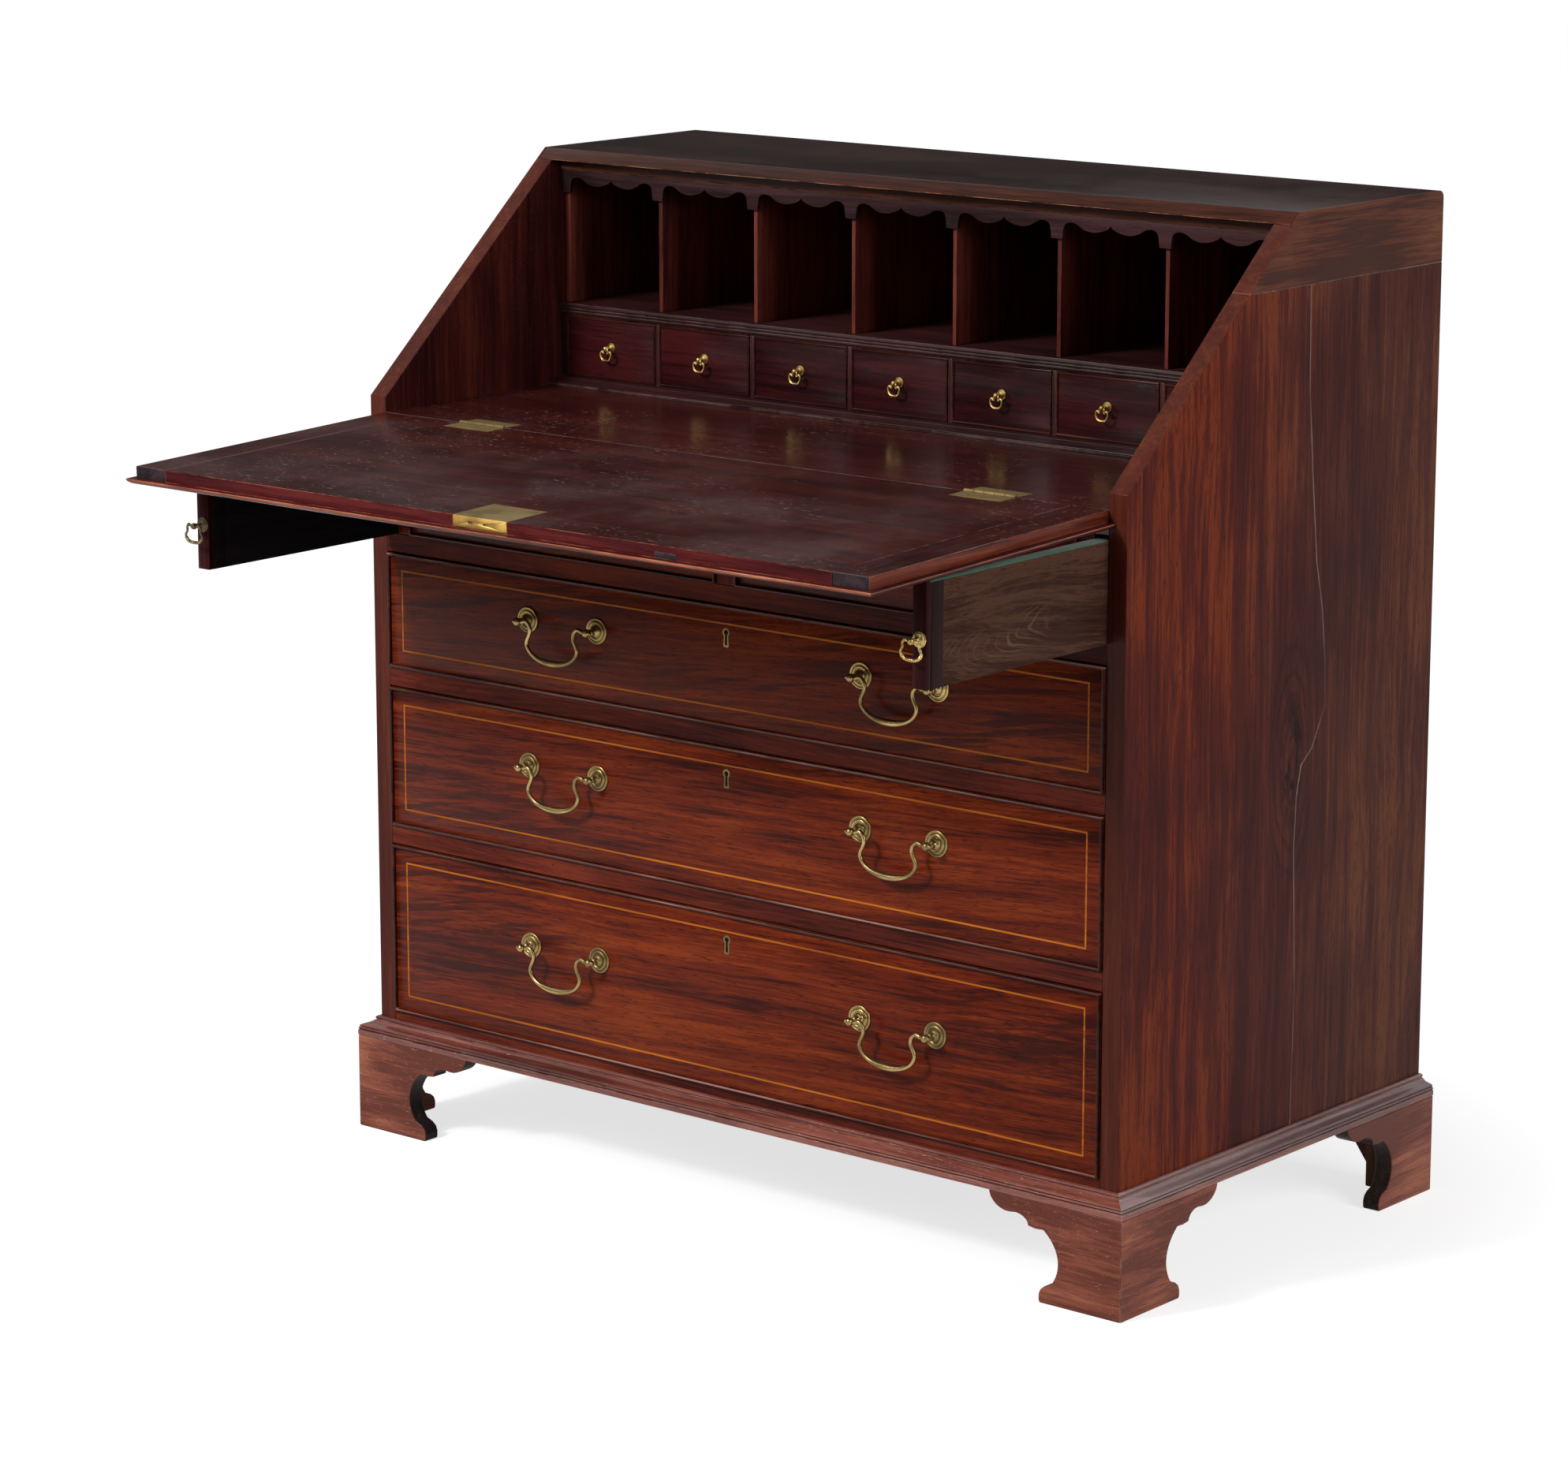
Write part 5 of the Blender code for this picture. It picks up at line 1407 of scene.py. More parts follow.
    def valance(self) -> None:
        """Build the scalloped strip above the pigeonholes."""
        top = SIZES.top_underside - GAP
        bottom = top - self.valance_drop
        shares = [
            (0.0, 0.30), (0.015, 0.38), (0.05, 0.455), (0.11, 0.525), (0.18, 0.585), (0.26, 0.625),
            (0.34, 0.64), (0.42, 0.615), (0.50, 0.555), (0.56, 0.47), (0.61, 0.39), (0.66, 0.335),
            (0.72, 0.305), (0.77, 0.31), (0.815, 0.345), (0.85, 0.41), (0.872, 0.52), (0.884, 0.68),
            (0.896, 1.0),
        ]
        right = [(self.pitch / 2 * away, top - self.valance_drop * down) for away, down in shares]
        left = [(-x, z) for x, z in reversed(right[1:])]
        lower = [(middle + x, z) for middle in self.middles for x, z in left + right]
        outline = [(-self.half, top), (-self.half, bottom), *lower, (self.half, bottom), (self.half, top)]
        start = self.front + self.set_back
        piece = board("valance_strip", outline, Plane.FRONT, start, start + self.valance_thick, 0.0005)
        settle(piece, "case", VALANCE.material(Grain.ALONG_X, 0.1), "inner_mahogany", "valance")

    def drawer(self, number: int, middle: float) -> None:
        """Build one small drawer with its bead, its lining and its ring pull."""
        body = f"small_drawer_{number}"
        low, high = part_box(body)
        half = self.bay / 2 - self.face_clear
        x0, x1 = middle - half, middle + half
        back = self.front + self.face_thick
        spot, size = Vector((x0, self.front, low.z)), Vector((x1 - x0, self.face_thick, high.z - low.z))
        name = f"{body}_face"
        face = REPEATS.place("small_face", name, spot, lambda at: block(name, at, at + size, SHARP))
        settle(face, body, SMALL_FACE.material(Grain.ALONG_X, 0.23 * number), "inner_mahogany", body)
        corners = rectangle(x0, low.z, x1, high.z)
        SMALL_BEAD.build(body, body, corners, self.front, BEAD.material(Grain.ALONG_X, 0.1), "inner_mahogany")
        lining_high = (x1, high.y, low.z + self.lining_height)
        lining = SMALL_LINING.build(f"{body}_lining", (x0, back + GAP, low.z), lining_high)
        settle(lining, body, LINING.material(Grain.ALONG_Y, 0.2 * number), "inner_mahogany")
        pivot = joint_spot(f"ring_pull_{number}_hinge")
        RingPull().build(f"ring_pull_{number}", body, pivot, self.front)

    def build(self) -> None:
        """Build the whole gallery."""
        self.base()
        self.shelf()
        self.valance()
        for k, middle in enumerate(self.middles, start=1):
            self.drawer(k, middle)


@dataclass
class DrawerLining:
    """The sides, the back and the bottom of a drawer, behind its front."""

    wall: float
    floor: float

    def build(self, name: str, low: Sequence[float], high: Sequence[float]) -> Piece:
        """Build the lining between two corners, open above and in front."""
        start, size = Vector(low), Vector(high) - Vector(low)
        kind = f"lining_{size.x:.4f}_{size.y:.4f}_{size.z:.4f}"
        return REPEATS.place(kind, name, start, lambda spot: self.boards(spot, spot + size))

    def boards(self, low: Vector, high: Vector) -> Piece:
        """Make the lining's boards between two corners."""
        (x0, y0, z0), (x1, y1, z1) = low, high
        wall, top = self.wall, z0 + self.floor
        soft = wall / 3
        boards = [
            block("left", (x0, y0, z0), (x0 + wall, y1, z1), soft),
            block("right", (x1 - wall, y0, z0), (x1, y1, z1), soft),
            block("back", (x0 + wall, y1 - wall, top), (x1 - wall, y1, z1 - soft), soft),
            block("bottom", (x0 + wall, y0, z0), (x1 - wall, y1 - wall, top), soft / 4),
        ]
        return joined("lining", boards)


LARGE_LINING = DrawerLining(wall=0.009, floor=0.006)
SMALL_LINING = DrawerLining(wall=0.004, floor=0.003)


# Brass work


def ball(radius: float, spot: Sequence[float]) -> Piece:
    """Make a small ball."""
    bpy.ops.mesh.primitive_uv_sphere_add(segments=20, ring_count=12, radius=radius, location=spot)
    piece = bpy.context.object
    bake_place(piece)
    return soften(piece, 0)


def post(
    name: str, profile: Outline, globe: tuple[float, float, float], foot: Vector, steps: tuple[int, int]
) -> Piece:
    """Turn a plate with a post and a ball, facing forward.

    Args:
        name: The piece's name.
        profile: The plate and the post as (radius, reach) in millimetres, from the foot on.
        globe: The ball's radius, the place of its middle and the radius of its neck.
        foot: Where the plate stands on the wood.
        steps: The steps round the ball's arc and round the whole.

    Returns:
        The turned piece.
    """
    radius, middle, neck = globe
    sized = [(across / 1000, reach / 1000) for across, reach in profile]
    for a in arc(math.pi - math.asin(neck / radius), 0.0, steps[0]):
        sized.append((max(radius * math.sin(a), 0.0), middle + radius * math.cos(a)))
    return lathe(name, sized, foot, Axis.FORWARD, steps[1])


def hanging(pivot: Vector, width: float, drop: float, wire: float, shares: Sequence) -> tuple[list, list]:
    """The middle line and the radii of a loop that hangs from a pin, out of the shares of its right half."""
    right = [(width * out, drop * up, wire * size) for out, up, size in shares]
    whole = [(-x, z, r) for x, z, r in right] + [(x, z, r) for x, z, r in reversed(right)]
    return [pivot + Vector((x, 0, z)) for x, z, _ in whole], [r for _, _, r in whole]


@dataclass
class SwanNeckHandle:
    """A large handle: two stepped plates with posts, and a bail that swings between them."""

    span: float = 0.097
    post: float = 0.017
    ball: float = 0.0045
    bead: float = 0.0022
    drop: float = 0.0385
    rod: float = 0.0021
    neck: float = 0.0025

    def plate(self, foot: Vector, side: Side) -> Piece:
        """Turn one plate with its post and ball, and the bead on the ball's outer side."""
        profile = [
            (0.0, -0.0002), (14.0, -0.0002), (14.0, 0.8), (13.7, 1.5), (13.1, 1.9), (12.3, 1.9),
            (11.7, 1.5), (11.4, 0.9), (11.0, 0.9), (10.7, 1.7), (10.2, 2.5), (9.4, 2.95), (8.4, 2.95),
            (7.6, 2.5), (7.2, 1.9), (6.8, 1.9), (6.5, 2.8), (5.8, 4.0), (4.6, 4.9), (3.4, 6.2), (2.8, 8.0),
            (2.6, 9.6), (3.0, 10.2), (3.5, 10.6), (3.5, 11.1), (3.0, 11.6), (2.5, 12.0),
        ]
        bead = ball(self.bead, foot + Vector((side.value * self.ball, -self.post, 0)))
        turned = post("plate", profile, (self.ball, self.post, self.neck), foot, (8, 40))
        return joined("plate", [turned, bead])

    def swing(self, pivot: Vector) -> Piece:
        """Bend the bail that hangs from a pin line."""
        shares = [
            (0.955, 0.0, 0.55), (0.915, 0.0, 0.70), (0.87, 0.012, 1.15), (0.80, 0.045, 1.12),
            (0.74, 0.045, 1.08), (0.68, -0.01, 1.05), (0.635, -0.10, 1.0), (0.625, -0.20, 1.0),
            (0.66, -0.33, 0.98), (0.71, -0.45, 0.98), (0.73, -0.56, 0.98), (0.70, -0.67, 1.0),
            (0.63, -0.78, 1.05), (0.53, -0.87, 1.12), (0.41, -0.935, 1.26), (0.28, -0.975, 1.50),
            (0.14, -1.0, 1.72), (0.04, -1.005, 1.80),
        ]
        return rod("bail", *hanging(pivot, self.span / 2, self.drop, self.rod, shares), 4)

    def build(self, word: str, drawer: str, bail: str, pivot: Vector) -> None:
        """Build the handle.

        Args:
            word: The start of the plates' names.
            drawer: The body that carries the plates.
            bail: The bail's own body and node.
            pivot: The middle of the pin line.
        """
        for side in Side:
            foot = Vector((pivot.x + side.value * self.span / 2, SIZES.front, pivot.z))
            kind, name = f"plate_{side.word}", f"{word}_plate_{side.word}"
            piece = REPEATS.place(kind, name, foot, lambda spot: self.plate(spot, side))
            settle(piece, drawer, HANDLE_BRASS.material(), "aged_brass")
        piece = REPEATS.place("swan_neck", f"{bail}_swan_neck", pivot, self.swing)
        settle(piece, bail, HANDLE_BRASS.material(), "aged_brass", bail)


@dataclass
class RingPull:
    """The small pull of a gallery drawer: a domed plate, a ball and a heart-shaped ring."""

    post: float = 0.0095
    ball: float = 0.0029
    half_width: float = 0.0074
    drop: float = 0.0131
    neck: float = 0.0014
    wire: float = 0.00115

    def knob(self, foot: Vector) -> Piece:
        """Turn the plate with its post and ball."""
        profile = [
            (0, -0.2), (5.5, -0.2), (5.5, 0.4), (5.2, 0.8), (4.6, 0.9), (4.2, 1.3), (3.6, 2.2), (2.7, 3.0),
            (1.9, 3.5), (1.5, 4.3), (1.35, 5.4), (1.6, 6.1), (1.9, 6.5), (1.6, 6.9),
        ]
        return post("knob", profile, (self.ball, self.post, self.neck), foot, (7, 24))

    def ring(self, pivot: Vector) -> Piece:
        """Bend the ring that hangs from a pin."""
        shares = [
            (0.14, 0.0, 0.6), (0.33, -0.02, 0.7), (0.40, -0.12, 0.9), (0.37, -0.25, 1.0),
            (0.37, -0.36, 1.0), (0.48, -0.37, 1.0), (0.62, -0.28, 1.0), (0.80, -0.25, 1.0),
            (0.96, -0.36, 1.0), (1.0, -0.54, 1.0), (0.92, -0.72, 1.05), (0.74, -0.88, 1.12),
            (0.46, -0.98, 1.2), (0.15, -1.01, 1.2),
        ]
        return rod("ring", *hanging(pivot, self.half_width, self.drop, self.wire, shares), 3)

    def build(self, name: str, drawer: str, pivot: Vector, face: float) -> None:
        """Build the pull on a drawer's face."""
        foot = Vector((pivot.x, face, pivot.z))
        knob = REPEATS.place("ring_knob", f"{name}_knob", foot, self.knob)
        settle(knob, drawer, PULL_BRASS.material(), "aged_brass")
        ring = REPEATS.place("ring", f"{name}_ring", pivot, self.ring)
        settle(ring, name, PULL_BRASS.material(), "aged_brass", name)


@dataclass
class LoperPull:
    """The pull on a loper's end: a plate, a ball, and a bail with a roped foot."""

    post: float = 0.0125
    ball: float = 0.0034
    half_width: float = 0.0120
    drop: float = 0.0170
    neck: float = 0.0017
    wire: float = 0.0013
    bead: float = 0.0019
    strands: int = 3
    strand: float = 0.00095
    strand_away: float = 0.0009
    twists: int = 5
    steps: int = 40
    finish: Brass = ROPE_BRASS

    def build(self, name: str, loper: str, pivot: Vector, face: float) -> None:
        """Build the pull on a loper's front end."""
        foot = Vector((pivot.x, face, pivot.z))
        knob = REPEATS.place("loper_knob", f"{name}_knob", foot, self.knob)
        settle(knob, loper, self.finish.material(), "aged_brass")
        bail = REPEATS.place("loper_bail", f"{name}_bail", pivot, self.bail)
        settle(bail, name, self.finish.material(), "aged_brass", name)

    def knob(self, foot: Vector) -> Piece:
        """Turn the plate with its post and ball."""
        profile = [
            (0, -0.2), (7.8, -0.2), (7.8, 0.5), (7.5, 0.9), (6.8, 1.1), (6.4, 1.5), (6.1, 2.1), (5.4, 2.4),
            (4.4, 2.6), (3.4, 3.2), (2.4, 4.2), (1.9, 5.6), (1.8, 7.2), (2.3, 7.9), (2.6, 8.3), (2.2, 8.8),
        ]
        return post("knob", profile, (self.ball, self.post, self.neck), foot, (8, 28))

    def bail(self, pivot: Vector) -> Piece:
        """Bend the bail's arms and join them with the roped foot and the bead."""
        shares = [
            (0.08, 0.0, 0.6), (0.27, 0.0, 0.6), (0.34, 0.02, 1.0), (0.50, 0.045, 1.0), (0.66, 0.035, 1.0),
            (0.78, -0.03, 1.0), (0.82, -0.14, 1.0), (0.80, -0.26, 1.0), (0.84, -0.38, 1.0),
            (0.95, -0.48, 1.0), (1.0, -0.60, 1.0), (0.95, -0.72, 1.0),
        ]
        path, radii = hanging(pivot, self.half_width, self.drop, self.wire, shares)
        count = len(shares)
        left = rod("arm", path[:count], radii[:count], 3)
        right = rod("arm", path[: count - 1 : -1], radii[: count - 1 : -1], 3)
        bead = ball(self.bead, pivot + Vector((-self.half_width * 0.62, 0, self.drop * 0.06)))
        return joined("bail", [left, right, *self.rope(pivot), bead])

    def rope(self, pivot: Vector) -> list[Piece]:
        """Make the twisted strands of the roped foot."""
        foot = [(0.95, -0.70), (0.84, -0.83), (0.66, -0.93), (0.40, -0.985), (0.0, -1.0)]
        half = [(self.half_width * out, self.drop * up) for out, up in foot]
        line = half + [(-x, z) for x, z in reversed(half[:-1])]
        lengths = [0.0]
        for (ax, az), (bx, bz) in zip(line, line[1:]):
            lengths.append(lengths[-1] + math.hypot(bx - ax, bz - az))
        made = []
        for strand in range(self.strands):
            path = []
            for k in range(self.steps + 1):
                run = lengths[-1] * k / self.steps
                stretch = max(j for j, length in enumerate(lengths[:-1]) if length <= run)
                (ax, az), (bx, bz) = line[stretch], line[stretch + 1]
                share = (run - lengths[stretch]) / (lengths[stretch + 1] - lengths[stretch])
                way = Vector((bx - ax, 0, bz - az)).normalized()
                turn = math.tau * (strand / self.strands + self.twists * k / self.steps)
                away = Vector((way.z * math.cos(turn), math.sin(turn), -way.x * math.cos(turn)))
                middle = pivot + Vector((ax + (bx - ax) * share, 0, az + (bz - az) * share))
                path.append(middle + away * self.strand_away)
            made.append(rod("strand", path, [self.strand] * len(path), 2))
        return made


# Drawers


@dataclass
class Keyhole:
    """A keyhole with a brass rim, let into a face."""

    head: float = 0.0026
    slot: float = 0.0024
    height: float = 0.016
    rim: float = 0.0021
    deep: float = 0.0012
    clip: float = 0.0010
    proud: float = 0.0003
    hole_proud: float = 0.00005

    def outline(self, grow: float, steps: int = 20) -> Outline:
        """The keyhole's outline about its middle, grown by a width all round."""
        head = self.head + grow
        middle = self.height / 2 - self.head
        half = self.slot / 2 + grow + 0.0003
        foot = -self.height / 2 - grow
        neck = math.asin(min(0.95, (self.slot / 2 + grow * 0.75) / head))
        turns = arc(neck - math.pi / 2, 3 * math.pi / 2 - neck, steps)
        points = [(head * math.cos(a), middle + head * math.sin(a)) for a in turns]
        points += [
            (-half, foot + 0.0012), (-half + self.clip, foot), (half - self.clip, foot),
            (half, foot + 0.0012),
        ]
        return points

    def placed(self, spot: Vector, grow: float) -> Outline:
        """The outline about a spot in a face."""
        return [(spot.x + x, spot.z + z) for x, z in self.outline(grow)]

    def border(self, spot: Vector) -> Piece:
        """Make the rim about a spot in a face."""
        outlines = self.placed(spot, self.rim), self.placed(spot, 0.0)
        return band("rim", *outlines, Plane.FRONT, spot.y - self.proud, spot.y + self.deep, CRISP)

    def hole(self, spot: Vector) -> Piece:
        """Make the near-black piece, about a spot in a face, that paints the shade inside the keyhole."""
        start = spot.y - self.hole_proud
        return board("hole", self.placed(spot, 0.0), Plane.FRONT, start, spot.y + self.deep, 0)

    def build(self, name: str, body: str, spot: Vector) -> None:
        """Build the rim and the hole about a spot in a face that looks forward."""
        rim = REPEATS.place("keyhole_rim", f"{name}_rim", spot, self.border)
        settle(rim, body, PLATE_BRASS.material(), "aged_brass")
        # The hole is a dark piece in the keyhole's outline: painted shade
        hole = REPEATS.place("keyhole_hole", f"{name}_hole", spot, self.hole)
        settle(hole, body, KEYHOLE_PAINTED_SHADE.material(Grain.ALONG_X), "front_mahogany")


@dataclass
class Bead:
    """The raised bead round a drawer front."""

    width: float
    proud: float
    sunk: float
    soft: float

    def build(self, node: str, body: str, corners: Outline, face: float, look: Material, slot: str) -> Piece:
        """Build the bead inside four corners of a face."""
        (x0, z0), _, (x1, z1), _ = corners
        kind = f"bead_{self.width}_{x1 - x0:.4f}_{z1 - z0:.4f}"
        strip = (f"{node}_bead", corners, self.width, face - self.proud, face + self.sunk, self.soft)
        piece = REPEATS.place(kind, strip[0], Vector((x0, face, z0)), lambda _: frame_of(*strip))
        return settle(piece, body, look, slot)


COCKBEAD = Bead(width=0.003, proud=0.0035, sunk=0.001, soft=0.0013)
SMALL_BEAD = Bead(width=0.0023, proud=0.0014, sunk=0.0005, soft=0.0008)


@dataclass
class LongDrawers:
    """The three long drawers with bead, string inlay, keyhole and two handles each."""

    thick: float = 0.020
    inset: float = 0.019
    clear: float = 0.0015
    string: float = 0.0019
    keyhole_drop: float = 0.034
    tails: int = 4
    lap: float = 0.006

    def drawer(self, word: str, shift: float) -> None:
        """Build one drawer."""
        body, node = f"drawer_{word}", f"drawer_front_{word}"
        low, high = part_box(node)
        front = SIZES.front
        opening_top = high.z + self.clear
        face = block(f"{node}_board", (low.x, front, low.z), (high.x, front + self.thick, high.z), CRISP)
        settle(face, body, VENEER.material(Grain.ALONG_X, shift), "front_mahogany", node)
        corners = rectangle(low.x, low.z, high.x, high.z)
        look = BEAD.material(Grain.ALONG_X, shift)
        bead = COCKBEAD.build(node, body, corners, front, look, "front_mahogany")
        # Painted highlight on the upper rounding of the bead
        paint(bead, BEAD_HIGHLIGHT.material(Grain.ALONG_X, shift), lambda normal, spot: 0.3 < normal.z < 0.97)
        x = high.x - self.inset
        edge = rectangle(-x, low.z - GAP + self.inset, x, opening_top - self.inset)
        line = frame_of(f"{node}_stringing", edge, self.string, front - 0.00012, front + 0.0005, 0)
        settle(line, body, STRINGING.material(Grain.ALONG_X, shift), "front_mahogany")
        Keyhole().build(f"keyhole_{word}", body, Vector((0.0, front, opening_top - self.keyhole_drop)))
        tray_low, tray_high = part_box(f"drawer_tray_{word}")
        lining = LARGE_LINING.build(f"drawer_lining_{word}", tray_low, tray_high)
        settle(lining, body, LINING.material(Grain.ALONG_Y, shift), "drawer_oak", f"drawer_tray_{word}")
        for side in Side:
            bail = f"bail_{word}_{side.word}"
            SwanNeckHandle().build(f"handle_{word}_{side.word}", body, bail, joint_spot(f"{bail}_hinge"))
            self.dovetails(body, side, tray_low.z, tray_high.z)

    def dovetails(self, body: str, side: Side, low: float, high: float) -> None:
        """Build the tails of a drawer side, where they lap into the front."""
        step = (high - low) / self.tails
        start, end = SIZES.front + self.lap, SIZES.front + self.thick + GAP
        outer = side.value * (high_of("drawer_front_low").x + 0.0002)
        wide, narrow = step * 0.40, step * 0.28
        tails = []
        for k in range(self.tails):
            z = low + (k + 0.5) * step
            outline = [(start, z - wide), (end, z - narrow), (end, z + narrow), (start, z + wide)]
            tails.append(board("tail", outline, Plane.FLANK, outer - side.value * 0.001, outer, 0))
        piece = joined(f"{body}_tails_{side.word}", tails)
        settle(piece, body, LINING.material(Grain.ALONG_Y, 0.3), "drawer_oak")

    def build(self) -> None:
        """Build all three."""
        for k, word in enumerate(("low", "mid", "high")):
            self.drawer(word, 1.62 + 0.83 * k)


@dataclass
class ShortDrawers:
    """The two short drawers between the lopers, with a bead and a knob."""

    thick: float = 0.020
    lowered: float = 0.0085
    knob: tuple[float, float, float] = (0.006, 0.013, 0.0035)

    def build(self) -> None:
        """Build both."""
        front = SIZES.front
        profile = [
            (0, -0.2), (7.5, -0.2), (7.5, 0.6), (7.0, 1.1), (5.6, 1.4), (4.0, 2.2), (3.2, 4.0), (3.3, 6.0),
        ]
        for side in Side:
            body = f"short_drawer_{side.word}"
            low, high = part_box(body)
            face = block(f"{body}_board", (low.x, front, low.z), (high.x, front + self.thick, high.z), CRISP)
            settle(face, body, VENEER.material(Grain.ALONG_X, 2.1 * side.value), "front_mahogany", body)
            corners = rectangle(low.x, low.z, high.x, high.z)
            COCKBEAD.build(body, body, corners, front, BEAD.material(Grain.ALONG_X, 0.2), "front_mahogany")
            lining_low = (low.x, front + self.thick + GAP, low.z)
            lining = LARGE_LINING.build(f"{body}_lining", lining_low, (high.x, high.y, high.z - self.lowered))
            settle(lining, body, LINING.material(Grain.ALONG_Y, 1.1 * side.value), "drawer_oak")
            foot = Vector(((low.x + high.x) / 2, front, (low.z + high.z) / 2))
            knob = post(f"{body}_knob", profile, self.knob, foot, (8, 32))
            settle(knob, body, HANDLE_BRASS.material(), "aged_brass")


# Lopers


@dataclass
class Lopers:
    """The two pull-out supports of the fall."""

    facing: float = 0.006
    end: float = 0.025
    cloth: float = 0.0016
    cloth_inset: float = 0.0004
    pull_reach: float = 0.0125

    def build(self) -> None:
        """Build both."""
        for side in Side:
            body = f"loper_{side.word}"
            low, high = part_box(body)
            pivot = joint_spot(f"loper_pull_{side.word}_hinge")
            start = pivot.y + self.pull_reach
            top = high.z - self.cloth
            back = start + self.facing
            facing = block(f"{body}_facing", (low.x, start, low.z), (high.x, back, high.z), FINE)
            settle(facing, body, FACING.material(Grain.ALONG_Z, 0.8), "front_mahogany", body)
            cleat = block(f"{body}_cleat", (low.x, back, low.z), (high.x, start + self.end, top), CRISP)
            settle(cleat, body, LOPER_END.material(Grain.ALONG_Z, 0.3), "loper_oak")
            core = block(f"{body}_core", (low.x, start + self.end, low.z), (high.x, high.y, top), CRISP)
            settle(core, body, LOPER.material(Grain.ALONG_Y, side.value), "loper_oak")
            # Painted shade on the inner side of each loper
            for piece in (core, cleat):
                shade = LOPER_PAINTED_SHADE.material(Grain.ALONG_Y)
                paint(piece, shade, lambda normal, spot: normal.x * side.value < -0.7)
            strip_low = (low.x + self.cloth_inset, back, top)
            strip_high = (high.x - self.cloth_inset, high.y, high.z - 0.0001)
            strip = block(f"{body}_baize", strip_low, strip_high, FINE)
            settle(strip, body, BAIZE.material(), "loper_oak")
            # The left pull takes the darker copy of its brass as painted shade
            finish = ROPE_BRASS if side is Side.RIGHT else ROPE_BRASS_PAINTED_SHADE
            LoperPull(finish=finish).build(f"loper_pull_{side.word}", body, pivot, start)


# Fall


